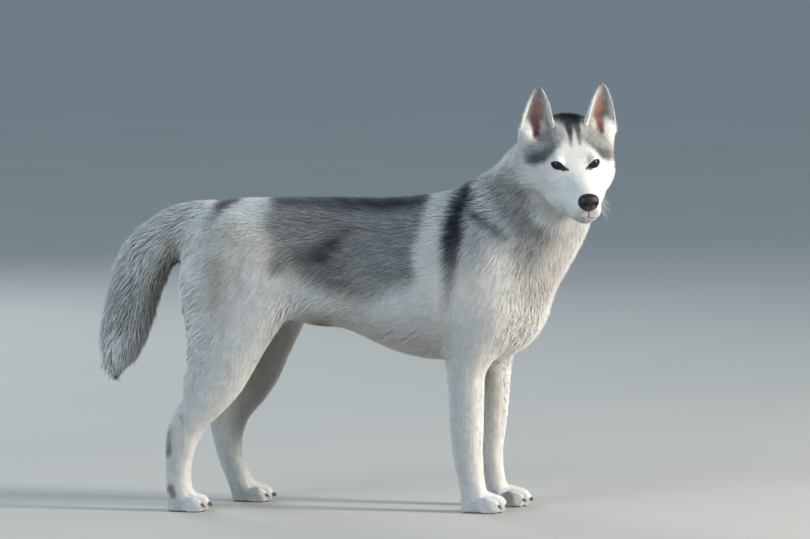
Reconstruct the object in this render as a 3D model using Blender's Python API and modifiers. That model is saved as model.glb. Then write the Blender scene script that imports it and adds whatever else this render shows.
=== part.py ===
"""A life-size Siberian husky, standing still with its head turned to its right.

Metres, +X toward the dog's front, +Y toward its left, +Z up. The soles lie on
z = 0. The solids reach out to the tips of the coat. The body is lofted in
pieces, melted into one skin and thinned, and then parted by narrow cuts into
the nodes a person would name. Ears, eyes, nose, tail and claws are fitted to it.
"""

import math

import bmesh
import bpy
import numpy as np
from mathutils import Euler, Matrix, Vector
from mathutils.bvhtree import BVHTree

# Driving sizes
GAP = 0.0003
RING_SIDES = 28
ROWS_PER_GAP = 4
MELT_VOXEL = 0.004
MELT_ROUNDS = 300
HEAD_TRIANGLES = 1370
BODY_TRIANGLES = 2370
TAIL_TRIANGLES = 220
EAR_TRIANGLES = 160
CUTTER_SIDES = 10
CUTTER_DETAIL = 16
PAW_TOP = 0.046
CUT_MARGIN = 0.008
FLOOR_CUT = ((-0.6, -0.4, -0.1), (0.6, 0.4, 0.0))
SHARP_ANGLE = math.radians(50)

# How much the melted skin is softened: along the head's own x, and by height on the rest
HEAD_SOFTNESS = ((-0.10, 1.0), (-0.04, 0.22), (0.01, 0.035))
BODY_SOFTNESS = ((0.05, 0.01), (0.22, 0.03), (0.34, 1.0))

# Trunk: place along X, top, underside, half width
TRUNK = (
    (-0.322, 0.505, 0.430, 0.030),
    (-0.300, 0.543, 0.385, 0.062),
    (-0.255, 0.565, 0.355, 0.086),
    (-0.185, 0.570, 0.347, 0.096),
    (-0.110, 0.572, 0.342, 0.094),
    (-0.030, 0.573, 0.333, 0.096),
    (0.040, 0.571, 0.301, 0.107),
    (0.110, 0.574, 0.277, 0.117),
    (0.170, 0.582, 0.270, 0.119),
    (0.225, 0.582, 0.276, 0.112),
    (0.275, 0.552, 0.292, 0.092),
    (0.305, 0.500, 0.315, 0.062),
)
TRUNK_SQUARENESS = 2.25
TRUNK_EGG = 0.10

# Swellings on the trunk's midline and on both its sides: name, place, radii
TRUNK_SWELLINGS = (
    ("forechest", (0.252, 0.0, 0.400), (0.116, 0.106, 0.129)),
    ("brisket", (0.150, 0.0, 0.318), (0.110, 0.062, 0.046)),
    ("sheath", (-0.062, 0.0, 0.340), (0.048, 0.017, 0.019)),
    ("rump", (-0.250, 0.0, 0.500), (0.075, 0.085, 0.066)),
    ("nape", (0.316, -0.044, 0.616), (0.056, 0.057, 0.059)),
)
SHOULDER = ((0.235, 0.072, 0.440), (0.070, 0.046, 0.125))
SHOULDER_LEAN = math.radians(18)
HAUNCH = ((-0.205, 0.062, 0.465), (0.105, 0.048, 0.085))

# Neck: centre x, y, z, half depth from nape to throat, half width
NECK = (
    (0.215, 0.000, 0.430, 0.130, 0.100),
    (0.262, 0.000, 0.478, 0.134, 0.102),
    (0.300, -0.002, 0.517, 0.126, 0.094),
    (0.330, -0.008, 0.549, 0.114, 0.086),
    (0.354, -0.018, 0.583, 0.104, 0.079),
    (0.372, -0.032, 0.614, 0.096, 0.074),
    (0.386, -0.048, 0.642, 0.080, 0.068),
)

# Legs: height, rear edge, front edge, distance from the midline, half width
FORELEG = (
    (0.480, 0.215, 0.290, 0.058, 0.028),
    (0.430, 0.195, 0.314, 0.066, 0.040),
    (0.375, 0.182, 0.319, 0.071, 0.044),
    (0.340, 0.175, 0.312, 0.071, 0.042),
    (0.300, 0.171, 0.282, 0.069, 0.037),
    (0.262, 0.173, 0.251, 0.067, 0.030),
    (0.220, 0.176, 0.245, 0.066, 0.026),
    (0.165, 0.179, 0.244, 0.066, 0.0245),
    (0.110, 0.184, 0.242, 0.066, 0.0235),
    (0.065, 0.194, 0.244, 0.066, 0.0225),
    (0.030, 0.201, 0.249, 0.066, 0.025),
    (0.010, 0.206, 0.248, 0.066, 0.022),
)
HINDLEG = (
    (0.505, -0.285, -0.135, 0.050, 0.032),
    (0.455, -0.318, -0.105, 0.061, 0.045),
    (0.400, -0.321, -0.090, 0.067, 0.047),
    (0.350, -0.311, -0.111, 0.073, 0.043),
    (0.310, -0.302, -0.136, 0.079, 0.038),
    (0.270, -0.302, -0.162, 0.085, 0.033),
    (0.235, -0.305, -0.183, 0.089, 0.029),
    (0.205, -0.307, -0.205, 0.093, 0.026),
    (0.178, -0.323, -0.231, 0.096, 0.024),
    (0.155, -0.334, -0.257, 0.098, 0.023),
    (0.130, -0.336, -0.272, 0.099, 0.0215),
    (0.100, -0.336, -0.284, 0.100, 0.0205),
    (0.060, -0.336, -0.288, 0.100, 0.021),
    (0.030, -0.334, -0.283, 0.100, 0.024),
    (0.010, -0.330, -0.284, 0.100, 0.021),
)

# How far the left legs stand ahead of the right ones: height, advance
FORE_STEP = (
    (0.0, 0.035),
    (0.035, 0.024),
    (0.09, 0.022),
    (0.165, 0.030),
    (0.24, 0.036),
    (0.33, 0.012),
    (0.42, 0.0),
)
HIND_STEP = (
    (0.0, 0.093),
    (0.04, 0.084),
    (0.08, 0.067),
    (0.14, 0.052),
    (0.205, 0.040),
    (0.30, 0.031),
    (0.45, 0.0),
)

# Tail: x, z, half thickness from front to back, half width
TAIL = (
    (-0.235, 0.533, 0.026, 0.024),
    (-0.275, 0.532, 0.034, 0.032),
    (-0.318, 0.514, 0.045, 0.040),
    (-0.360, 0.483, 0.052, 0.046),
    (-0.389, 0.445, 0.054, 0.049),
    (-0.405, 0.402, 0.052, 0.049),
    (-0.416, 0.355, 0.050, 0.047),
    (-0.430, 0.308, 0.045, 0.042),
    (-0.441, 0.268, 0.031, 0.029),
    (-0.446, 0.240, 0.009, 0.009),
)

# Head, in its own frame: x toward the nose, y toward its left, z up, from midway between the eyes
HEAD_CENTRE = (0.414, -0.128, 0.634)
HEAD_TURN = Euler((math.radians(2.5), math.radians(18), math.radians(-69)))
HEAD = (
    (0.101, -0.033, -0.061, 0.0170),
    (0.092, -0.022, -0.073, 0.0245),
    (0.075, -0.016, -0.080, 0.0300),
    (0.050, -0.012, -0.082, 0.0355),
    (0.028, -0.008, -0.085, 0.0440),
    (0.011, 0.004, -0.089, 0.0560),
    (-0.008, 0.027, -0.092, 0.0660),
    (-0.030, 0.048, -0.094, 0.0740),
    (-0.055, 0.068, -0.094, 0.0790),
    (-0.082, 0.079, -0.093, 0.0780),
    (-0.110, 0.068, -0.090, 0.0690),
    (-0.132, 0.040, -0.066, 0.0460),
)

# Swellings on both sides of the head: name, place on its left, radii
HEAD_SWELLINGS = (
    ("cheek", (-0.052, 0.050, -0.034), (0.044, 0.042, 0.050)),
    ("temple", (-0.070, 0.055, 0.018), (0.036, 0.037, 0.046)),
    ("ear_root", (-0.074, 0.070, 0.038), (0.030, 0.027, 0.036)),
    ("jaw_ruff", (-0.036, 0.034, -0.060), (0.044, 0.032, 0.032)),
    ("brow", (-0.014, 0.026, 0.017), (0.017, 0.017, 0.011)),
    ("lip", (0.072, 0.014, -0.052), (0.026, 0.0145, 0.019)),
)
CHIN = ((0.077, 0.0, -0.071), (0.018, 0.018, 0.012))

EYE_SPREAD = 0.0320
EYE_HEIGHT = 0.0038
EYE_RADIUS = 0.0118
EYE_PROUD = 0.0042
NOSE_PLACE = (0.097, 0.0, -0.0345)
NOSE_RADII = (0.0125, 0.0185, 0.0155)

# Ears, in the head's frame
EAR_BASE = (-0.064, 0.0570, 0.036)
EAR_TIP = (-0.052, 0.0595, 0.139)
EAR_HALF_WIDTH = 0.0320
EAR_TURN = math.radians(12)
EAR_DEPTH = 0.024
EAR_WALL = 0.0055
EAR_ROOT_WALL = 0.0090
EAR_ROWS = 12

# Where the head is parted from the neck: an egg round the skull, in the head's frame
HEAD_CUT_PLACE = (0.005, 0.0, 0.0)
HEAD_CUT_RADII = (0.122, 0.116, 0.126)

# Where the neck is parted from the trunk: a plane from the withers to the forechest
NECK_CUT_PLACE = (0.295, 0.0, 0.5025)
NECK_CUT_RISE = math.radians(42.7)

# Paws: length from heel to toes, half width, height
FORE_PAW = (0.088, 0.031, 0.037)
HIND_PAW = (0.082, 0.028, 0.036)
CLAW_LENGTH = 0.012
CLAW_RADIUS = 0.0028


def material(name, colour, roughness):
    made = bpy.data.materials.new(name)
    made.use_nodes = True
    shader = made.node_tree.nodes["Principled BSDF"]
    shader.inputs["Base Color"].default_value = (*colour, 1.0)
    shader.inputs["Roughness"].default_value = roughness
    shader.inputs["Metallic"].default_value = 0.0
    return made


def smooth_rows(rows, steps=ROWS_PER_GAP):
    """Rows on smooth curves through the given ones, so many to each gap."""
    rows = np.array(rows, float)
    padded = np.vstack([2 * rows[0] - rows[1], rows, 2 * rows[-1] - rows[-2]])
    found = []
    for before, start, end, after in zip(padded, padded[1:], padded[2:], padded[3:]):
        for step in range(steps):
            t = step / steps
            bend = 2 * before - 5 * start + 4 * end - after
            sway = 3 * start - before - 3 * end + after
            found.append(start + 0.5 * ((end - before) * t + bend * t**2 + sway * t**3))
    found.append(rows[-1])
    return found


def oval(centre, across, upward, half_across, half_up, squareness=2.0, egg=0.0, sides=RING_SIDES):
    """A ring of points: an ellipse at squareness 2, squarer above that, and narrower at its top by egg."""
    points = []
    for side in range(sides):
        turn = 2 * math.pi * (side + 0.5) / sides
        reach = math.copysign(abs(math.cos(turn)) ** (2 / squareness), math.cos(turn))
        rise = math.copysign(abs(math.sin(turn)) ** (2 / squareness), math.sin(turn))
        width = half_across * (1 - egg * rise)
        points.append(centre + across * (width * reach) + upward * (half_up * rise))
    return points


def loft(name, rings):
    """A closed mesh through the rings, with both ends filled."""
    shape = bmesh.new()
    loops = [[shape.verts.new(point) for point in ring] for ring in rings]
    count = len(loops[0])
    for first, second in zip(loops, loops[1:]):
        for side in range(count):
            after = (side + 1) % count
            shape.faces.new((first[side], first[after], second[after]))
            shape.faces.new((first[side], second[after], second[side]))
    shape.faces.new(loops[0])
    shape.faces.new(loops[-1])
    bmesh.ops.recalc_face_normals(shape, faces=shape.faces)
    return mesh_object(name, shape)


def mesh_object(name, shape):
    mesh = bpy.data.meshes.new(name)
    shape.to_mesh(mesh)
    shape.free()
    made = bpy.data.objects.new(name, mesh)
    bpy.context.scene.collection.objects.link(made)
    return made


def ball(name, centre, radii, turn=Matrix.Identity(4), frame=Matrix.Identity(4), detail=16):
    """An ellipsoid in the given frame."""
    shape = bmesh.new()
    place = frame @ Matrix.Translation(centre) @ turn @ Matrix.Diagonal((*radii, 1.0))
    bmesh.ops.create_uvsphere(shape, u_segments=detail, v_segments=detail // 2 + 2, radius=1.0, matrix=place)
    bmesh.ops.recalc_face_normals(shape, faces=shape.faces)
    return mesh_object(name, shape)


def box(name, low, high, frame=Matrix.Identity(4)):
    shape = bmesh.new()
    low, high = Vector(low), Vector(high)
    place = frame @ Matrix.Translation((low + high) / 2) @ Matrix.Diagonal((*(high - low), 1.0))
    bmesh.ops.create_cube(shape, size=1.0, matrix=place)
    return mesh_object(name, shape)


def settle(made):
    """Applies the object's modifiers."""
    bpy.context.view_layer.update()
    graph = bpy.context.evaluated_depsgraph_get()
    mesh = bpy.data.meshes.new_from_object(made.evaluated_get(graph))
    made.modifiers.clear()
    made.data = mesh
    return made


def join(name, pieces):
    shape = bmesh.new()
    for piece in pieces:
        shape.from_mesh(piece.data)
        bpy.data.objects.remove(piece)
    return mesh_object(name, shape)


def combine(made, other, operation):
    modifier = made.modifiers.new(operation.title(), "BOOLEAN")
    modifier.operation = operation
    modifier.solver = "EXACT"
    modifier.object = other
    return settle(made)


def copy_of(made, name):
    copied = bpy.data.objects.new(name, made.data.copy())
    bpy.context.scene.collection.objects.link(copied)
    return copied


def grown(made, name, distance):
    """A copy whose surface stands out by the distance."""
    copied = copy_of(made, name)
    modifier = copied.modifiers.new("Grow", "DISPLACE")
    modifier.strength = distance
    modifier.mid_level = 0.0
    return settle(copied)


def melt(made, voxel, softness, rounds):
    """One skin round everything in the mesh, softened by the weight that softness gives each point."""
    modifier = made.modifiers.new("Melt", "REMESH")
    modifier.mode = "VOXEL"
    modifier.voxel_size = voxel
    settle(made)
    group = made.vertex_groups.new(name="Soft")
    for vertex in made.data.vertices:
        group.add([vertex.index], softness(vertex.co), "REPLACE")
    modifier = made.modifiers.new("Soften", "SMOOTH")
    modifier.factor = 0.5
    modifier.iterations = rounds
    modifier.vertex_group = group.name
    settle(made)
    made.vertex_groups.clear()
    return made


def thin(made, triangles):
    """Fewer triangles, spent where the surface bends most."""
    modifier = made.modifiers.new("Triangles", "TRIANGULATE")
    settle(made)
    modifier = made.modifiers.new("Thin", "DECIMATE")
    modifier.ratio = triangles / len(made.data.polygons)
    modifier.use_collapse_triangulate = True
    return settle(made)


def largest_body(made):
    """Drops slivers that a cut left loose."""
    shape = bmesh.new()
    shape.from_mesh(made.data)
    unseen = set(shape.verts)
    islands = []
    while unseen:
        island, edge = set(), [unseen.pop()]
        while edge:
            vertex = edge.pop()
            island.add(vertex)
            for line in vertex.link_edges:
                other = line.other_vert(vertex)
                if other in unseen:
                    unseen.discard(other)
                    edge.append(other)
        islands.append(island)
    keep = max(islands, key=len)
    drop = [vertex for island in islands if island is not keep for vertex in island]
    bmesh.ops.delete(shape, geom=drop, context="VERTS")
    shape.to_mesh(made.data)
    shape.free()
    return made


def advance(steps, height, side):
    """How far ahead a leg stands at this height: only the left ones do."""
    heights, reaches = zip(*steps)
    return float(np.interp(height, heights, reaches)) if side > 0 else 0.0


def mirrored(place, side):
    """A place given for the left, on the side asked: 1 left, -1 right."""
    return (place[0], side * place[1], place[2])


def trunk_shape():
    rings = []
    across, upward = Vector((0, 1, 0)), Vector((0, 0, 1))
    for x, top, bottom, width in smooth_rows(TRUNK):
        centre = Vector((x, 0, (top + bottom) / 2))
        half_height = (top - bottom) / 2
        rings.append(oval(centre, across, upward, width, half_height, TRUNK_SQUARENESS, TRUNK_EGG))
    return loft("trunk_loft", rings)


def chest_shapes():
    """The swellings of the trunk, with the shoulders and the haunches."""
    made = [ball(name, place, radii, detail=24) for name, place, radii in TRUNK_SWELLINGS]
    lean = Matrix.Rotation(SHOULDER_LEAN, 4, "Y")
    for side in (-1, 1):
        made.append(ball("shoulder", mirrored(SHOULDER[0], side), SHOULDER[1], lean, detail=24))
        made.append(ball("haunch", mirrored(HAUNCH[0], side), HAUNCH[1], detail=24))
    return made


def along(rows, index):
    before = Vector(rows[max(index - 1, 0)])
    after = Vector(rows[min(index + 1, len(rows) - 1)])
    return (after - before).normalized()


def neck_shape():
    rows = smooth_rows(NECK)
    centres = [Vector(row[:3]) for row in rows]
    rings = []
    for index, row in enumerate(rows):
        axis = along(centres, index)
        across = Vector((0, 0, 1)).cross(axis).normalized()
        rings.append(oval(centres[index], across, axis.cross(across), row[4], row[3], 2.1, 0.12))
    return loft("neck_loft", rings)


def tail_shape():
    rows = smooth_rows(TAIL)
    centres = [Vector((row[0], 0, row[1])) for row in rows]
    rings = []
    for index, row in enumerate(rows):
        axis = along(centres, index)
        across = Vector((0, 1, 0))
        rings.append(oval(centres[index], across, axis.cross(across), row[3], row[2]))
    return loft("tail", rings)


def leg_shape(name, rows, steps, side, margin=0.0, soles=0.0):
    """A leg as level rings from the body down to the foot, wider all round by the margin."""
    rings = []
    sides = CUTTER_SIDES if margin else RING_SIDES
    for height, rear, front, out, width in smooth_rows(rows, 1 if margin else ROWS_PER_GAP):
        if height < soles:
            continue
        ahead = advance(steps, height, side)
        centre = Vector(((rear + front) / 2 + ahead, side * out, height))
        half_length = (front - rear) / 2 + margin
        forward, outward = Vector((1, 0, 0)), Vector((0, side, 0))
        rings.append(oval(centre, forward, outward, half_length, width + margin, 2.15, sides=sides))
    if margin:
        rings.insert(0, [point + Vector((0, 0, margin)) for point in rings[0]])
        rings[-1] = [Vector((point.x, point.y, soles)) for point in rings[-1]]
    return loft(name, rings)


def paw_shapes(heel, side, out, size):
    """The foot with four toes, its middle pair ahead of the outer pair."""
    length, half, height = size
    y = side * out
    foot_centre = (heel + 0.46 * length, y, 0.46 * height)
    pad_centre = (heel + 0.27 * length, y, 0.24 * height)
    made = [
        ball("foot", foot_centre, (0.46 * length, 0.84 * half, 0.60 * height)),
        ball("heel_pad", pad_centre, (0.25 * length, 0.66 * half, 0.42 * height)),
    ]
    for place in (-1.5, -0.5, 0.5, 1.5):
        outer = abs(place) > 1
        toe_x = heel + (0.64 if outer else 0.755) * length
        centre = (toe_x, y + place * 0.56 * half, (0.36 if outer else 0.41) * height)
        spread = Matrix.Rotation(math.radians(5 * place), 4, "Z")
        made.append(ball("toe", centre, (0.245 * length, 0.335 * half, 0.50 * height), spread))
    return made


def head_shapes(frame):
    rings = []
    for x, top, bottom, width in smooth_rows(HEAD):
        centre = frame @ Vector((x, 0, (top + bottom) / 2))
        across = frame.to_3x3() @ Vector((0, 1, 0))
        upward = frame.to_3x3() @ Vector((0, 0, 1))
        muzzle = min(max((x + 0.02) / 0.06, 0.0), 1.0)
        rings.append(oval(centre, across, upward, width, (top - bottom) / 2, 2.4, 0.02 + 0.14 * muzzle))
    made = [loft("head_loft", rings)]
    made.append(ball("chin", *CHIN, frame=frame))
    for side in (-1, 1):
        for name, place, radii in HEAD_SWELLINGS:
            made.append(ball(name, mirrored(place, side), radii, frame=frame, detail=24))
    return made


def ear_shape(name, side, frame):
    """A thick upright cup, open toward the front, narrowing to a rounded tip."""
    base = Vector((EAR_BASE[0], side * EAR_BASE[1], EAR_BASE[2]))
    tip = Vector((EAR_TIP[0], side * EAR_TIP[1], EAR_TIP[2]))
    upward = (tip - base).normalized()
    facing = Vector((math.cos(EAR_TURN), side * math.sin(EAR_TURN), 0))
    facing = (facing - upward * facing.dot(upward)).normalized()
    across = upward.cross(facing)
    rings = []
    for row in range(EAR_ROWS + 1):
        t = 0.985 * row / EAR_ROWS
        width = EAR_HALF_WIDTH * (1 - t**1.55) ** 0.68 + 0.001
        depth = EAR_DEPTH * (1 - t) ** 0.9 + EAR_WALL
        wall = min(EAR_ROOT_WALL + (EAR_WALL - EAR_ROOT_WALL) * t, 0.8 * depth)
        centre = base + (tip - base) * t + facing * (EAR_DEPTH / 2 * (1 - t))
        ring = []
        steps = RING_SIDES // 2
        for step in range(steps + 1):
            turn = math.pi + math.pi * step / steps
            ring.append(centre + across * (width * math.cos(turn)) + facing * (depth * math.sin(turn)))
        for step in range(steps + 1):
            turn = 2 * math.pi - math.pi * step / steps
            inner = max(width - 0.45 * wall, 0.0006)
            hollow = facing * ((depth - wall) * math.sin(turn) + 0.0012)
            ring.append(centre + across * (inner * math.cos(turn)) + hollow)
        rings.append([frame @ point for point in ring])
    return loft(name, rings)


def softness(point, frame_back):
    """How much the melted skin is softened: little on the face, legs and feet, much on the trunk."""
    local = frame_back @ point
    if local.x > -0.14 and abs(local.y) < 0.11 and abs(local.z) < 0.13:
        return float(np.interp(local.x, *zip(*HEAD_SOFTNESS)))
    return float(np.interp(point.z, *zip(*BODY_SOFTNESS)))


def thin_part(made, triangles, chosen):
    """Thins only the chosen points' faces, down to so many triangles there."""
    group = made.vertex_groups.new(name="Thin")
    picked = [vertex.index for vertex in made.data.vertices if chosen(vertex.co)]
    group.add(picked, 1.0, "REPLACE")
    inside = set(picked)
    faces = sum(all(index in inside for index in face.vertices) for face in made.data.polygons)
    modifier = made.modifiers.new("Thin", "DECIMATE")
    modifier.ratio = 1 - (faces - triangles) / len(made.data.polygons)
    modifier.vertex_group = group.name
    modifier.use_collapse_triangulate = True
    settle(made)
    made.vertex_groups.clear()
    return made


def whole_body(frame):
    """Head, neck, trunk, legs and paws as one skin, standing on flat pads."""
    pieces = [trunk_shape(), neck_shape(), *chest_shapes(), *head_shapes(frame)]
    for side in (-1, 1):
        pieces.append(leg_shape("fore", FORELEG, FORE_STEP, side))
        pieces.append(leg_shape("hind", HINDLEG, HIND_STEP, side))
        for place in (fore_paw_place(side), hind_paw_place(side)):
            pieces += paw_shapes(*place)
    body = join("body", pieces)
    back = frame.inverted()
    melt(body, MELT_VOXEL, lambda point: softness(point, back), MELT_ROUNDS)
    body.modifiers.new("Triangles", "TRIANGULATE")
    settle(body)

    def in_head(point):
        local = back @ point
        return sum((value / radius) ** 2 for value, radius in zip(local, HEAD_CUT_RADII)) < 1.0

    thin_part(body, HEAD_TRIANGLES, in_head)
    thin_part(body, BODY_TRIANGLES, lambda point: not in_head(point))
    floor = box("floor", *FLOOR_CUT)
    combine(body, floor, "DIFFERENCE")
    bpy.data.objects.remove(floor)
    return body


def fore_paw_place(side):
    ahead = advance(FORE_STEP, 0.01, side)
    return FORELEG[-1][1] - 0.008 + ahead, side, FORELEG[-1][3], FORE_PAW


def hind_paw_place(side):
    ahead = advance(HIND_STEP, 0.01, side)
    return HINDLEG[-1][1] - 0.005 + ahead, side, HINDLEG[-1][3], HIND_PAW


def set_in(body, made):
    """Hollows the body to hold the piece, a gap clear of it all round."""
    room = grown(made, "room", GAP)
    combine(body, room, "DIFFERENCE")
    bpy.data.objects.remove(room)
    return made


def fit_on(made, body_room):
    """Trims the piece to the outside of the body, a gap clear of it."""
    return largest_body(combine(made, body_room, "DIFFERENCE"))


def eye_shape(name, side, frame, body):
    """An eyeball that stands a little proud of the face in front of it."""
    shape = bmesh.new()
    shape.from_mesh(body.data)
    face = BVHTree.FromBMesh(shape)
    shape.free()
    start = frame @ Vector((0.2, side * EYE_SPREAD, EYE_HEIGHT))
    hit = frame.inverted() @ face.ray_cast(start, frame.to_3x3() @ Vector((-1, 0, 0)))[0]
    centre = (hit.x - EYE_RADIUS + EYE_PROUD, side * EYE_SPREAD, EYE_HEIGHT)
    return ball(name, centre, (EYE_RADIUS,) * 3, Matrix.Rotation(math.pi / 2, 4, "Y"), frame, detail=10)


def claw_shapes(name, heel, side, out, size, body_room):
    """Four short claws, each from the lower front of its toe."""
    length, half, height = size
    claws = []
    for number, place in enumerate((-1.5, -0.5, 0.5, 1.5)):
        outer = abs(place) > 1
        reach = (0.80 if outer else 0.915) * length
        root = Vector((heel + reach, side * out + place * 0.60 * half, 0.35 * height))
        turn = Euler((0, math.radians(112), math.radians(5 * place))).to_matrix().to_4x4()
        middle = Matrix.Translation((0, 0, CLAW_LENGTH / 2))
        shape = bmesh.new()
        bmesh.ops.create_cone(
            shape,
            cap_ends=True,
            segments=5,
            radius1=CLAW_RADIUS,
            radius2=CLAW_RADIUS / 4,
            depth=CLAW_LENGTH,
            matrix=Matrix.Translation(root) @ turn @ middle,
        )
        claws.append(fit_on(mesh_object(f"claw_{name}_{number + 1}", shape), body_room))
    return claws


def cut_out(body, name, cutter):
    """The part of the body inside the cutter."""
    made = copy_of(body, name)
    combine(made, cutter, "INTERSECT")
    return largest_body(made)


def take_away(made, cutters):
    for cutter in cutters:
        combine(made, cutter, "DIFFERENCE")
    return largest_body(made)


def parted(body, frame):
    """The body's nodes, with a narrow gap at every cut."""
    egg = ball("head_cut", HEAD_CUT_PLACE, HEAD_CUT_RADII, frame=frame, detail=CUTTER_DETAIL)
    radii = [radius + GAP for radius in HEAD_CUT_RADII]
    egg_room = ball("head_room", HEAD_CUT_PLACE, radii, frame=frame, detail=CUTTER_DETAIL)
    slope = Matrix.Translation(NECK_CUT_PLACE) @ Matrix.Rotation(-NECK_CUT_RISE, 4, "Y")
    slab = box("neck_cut", (0, -0.3, -0.3), (0.5, 0.3, 0.4), slope)
    slab_room = box("neck_room", (-GAP, -0.3, -0.3), (0.5, 0.3, 0.4), slope)
    nodes = [cut_out(body, "head", egg)]
    neck = cut_out(body, "neck", slab)
    nodes.append(take_away(neck, [egg_room]))
    rooms = [slab_room, egg_room]
    helpers = [egg, egg_room, slab, slab_room]
    for which, rows, steps, place in (
        ("fore", FORELEG, FORE_STEP, fore_paw_place),
        ("hind", HINDLEG, HIND_STEP, hind_paw_place),
    ):
        for side_name, side in (("left", 1), ("right", -1)):
            sleeve = leg_shape("sleeve", rows, steps, side, CUT_MARGIN, PAW_TOP)
            sleeve_room = leg_shape("sleeve_room", rows, steps, side, CUT_MARGIN + GAP, PAW_TOP - GAP)
            heel, _, out, _ = place(side)
            low = (heel - 0.05, side * out - 0.06, -0.02)
            high = (heel + 0.13, side * out + 0.06, PAW_TOP - GAP)
            shoe = box("shoe", low, high)
            nodes.append(cut_out(body, f"{which}leg_{side_name}", sleeve))
            nodes.append(cut_out(body, f"{which}paw_{side_name}", shoe))
            rooms.append(sleeve_room)
            helpers += [sleeve, sleeve_room, shoe]
    nodes.append(take_away(copy_of(body, "trunk"), rooms))
    for helper in helpers:
        bpy.data.objects.remove(helper)
    return nodes


def finish(nodes, finishes):
    """Gathers the nodes, gives each its material and stands the dog over the middle of its box."""
    home = bpy.data.collections.new("siberian_husky")
    bpy.context.scene.collection.children.link(home)
    corners = np.array([vertex.co for node in nodes for vertex in node.data.vertices])
    low, high = corners.min(0), corners.max(0)
    stand = bpy.data.objects.new("husky", None)
    stand.location = (-(low[0] + high[0]) / 2, -(low[1] + high[1]) / 2, 0)
    home.objects.link(stand)
    for node in nodes:
        bpy.context.scene.collection.objects.unlink(node)
        home.objects.link(node)
        node.parent = stand
        key = next(key for key in finishes if node.name.startswith(key))
        node.data.materials.clear()
        node.data.materials.append(finishes[key])
        node.data.shade_smooth()
        node.data.set_sharp_from_angle(angle=SHARP_ANGLE)


def main():
    for old in list(bpy.data.objects):
        bpy.data.objects.remove(old)
    frame = Matrix.Translation(HEAD_CENTRE) @ HEAD_TURN.to_matrix().to_4x4()
    body = whole_body(frame)
    body_room = grown(body, "body_room", GAP)
    nodes = []
    for name, side in (("left", 1), ("right", -1)):
        ear = thin(ear_shape(f"ear_{name}", side, frame), EAR_TRIANGLES)
        nodes.append(fit_on(ear, body_room))
        nodes += claw_shapes(f"fore_{name}", *fore_paw_place(side), body_room)
        nodes += claw_shapes(f"hind_{name}", *hind_paw_place(side), body_room)
    nodes.append(fit_on(thin(tail_shape(), TAIL_TRIANGLES), body_room))
    eyes = [eye_shape(f"eye_{name}", side, frame, body) for name, side in (("left", 1), ("right", -1))]
    nose = ball("nose", NOSE_PLACE, NOSE_RADII, frame=frame, detail=10)
    for piece in (*eyes, nose):
        nodes.append(set_in(body, piece))
    nodes += parted(body, frame)
    bpy.data.objects.remove(body)
    bpy.data.objects.remove(body_room)
    horn = material("claw_horn", (0.06, 0.05, 0.045), 0.45)
    white = material("white_coat", (0.80, 0.78, 0.74), 0.9)
    grey = material("grey_coat", (0.34, 0.34, 0.35), 0.9)
    finish(
        nodes,
        {
            "claw": horn,
            "eye": material("eye", (0.05, 0.03, 0.02), 0.1),
            "nose": material("nose_leather", (0.03, 0.025, 0.025), 0.4),
            "ear": grey,
            "tail": grey,
            "trunk": grey,
            "neck": grey,
            "": white,
        },
    )


main()
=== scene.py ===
"""A standing Siberian husky, finished as a still, life-size model.

One skin stands for all the nodes of flesh and lies inside them by the depth of the
coat. The coat is solid tufts over it. Eyes, nose, claws and whiskers are pieces of
their own. Metres, +X toward the dog's front, +Y toward its left, +Z up.
"""

import math

import bmesh
import bpy
import numpy as np
from mathutils import Euler, Matrix, Vector
from mathutils.bvhtree import BVHTree
from mathutils.kdtree import KDTree


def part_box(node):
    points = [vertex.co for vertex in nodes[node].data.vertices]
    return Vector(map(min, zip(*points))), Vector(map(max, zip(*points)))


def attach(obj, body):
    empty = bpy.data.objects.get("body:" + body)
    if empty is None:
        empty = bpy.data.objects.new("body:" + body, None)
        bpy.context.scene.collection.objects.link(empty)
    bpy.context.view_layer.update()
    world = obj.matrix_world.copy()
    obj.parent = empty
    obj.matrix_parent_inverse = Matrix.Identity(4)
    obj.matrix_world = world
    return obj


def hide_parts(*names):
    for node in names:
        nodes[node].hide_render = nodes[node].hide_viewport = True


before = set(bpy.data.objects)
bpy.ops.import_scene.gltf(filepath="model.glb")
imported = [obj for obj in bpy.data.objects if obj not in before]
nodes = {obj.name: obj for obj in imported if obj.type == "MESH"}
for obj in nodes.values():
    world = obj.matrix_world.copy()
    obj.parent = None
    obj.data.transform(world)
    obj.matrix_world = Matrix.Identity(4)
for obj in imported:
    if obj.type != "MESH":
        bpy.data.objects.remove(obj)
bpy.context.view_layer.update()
rng = np.random.default_rng(11)

# The head's own frame: x toward the nose, y toward its left, z up, from midway between the eyes
HEAD_CENTRE = Vector((0.414, -0.128, 0.634))
HEAD_TURN = Euler((math.radians(2.5), math.radians(18), math.radians(-69))).to_matrix()
NOSE_PLACE = Vector((0.097, 0.0, -0.0345))
NOSE_RADII = (0.0125, 0.0185, 0.0155)
EYE_PLACE = (-0.0020, 0.0320, 0.0038)
EYE_RADIUS = 0.0118

# Where the dog stands: its own frame, from which the tables below are measured, inside the CAD's
nose_low, nose_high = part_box("nose")
STAND = (nose_low + nose_high) / 2 - HEAD_CENTRE - HEAD_TURN @ NOSE_PLACE
STAND.z = 0.0
HEAD_ORIGIN = STAND + HEAD_CENTRE
HEAD_FRAME = Matrix.Translation(HEAD_ORIGIN) @ HEAD_TURN.to_4x4()

# Camera: 12 m off and 1.18 m up, 7 degrees round from a true side view
CAMERA_DISTANCE = 12.0
CAMERA_HEIGHT = 1.18
CAMERA_ROUND = math.radians(7)
CAMERA_DOWN = math.radians(3.55)
CAMERA_ASIDE = math.radians(0.4345)
CAMERA_LENS = 293.02
CAMERA_SENSOR = 36.0

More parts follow.
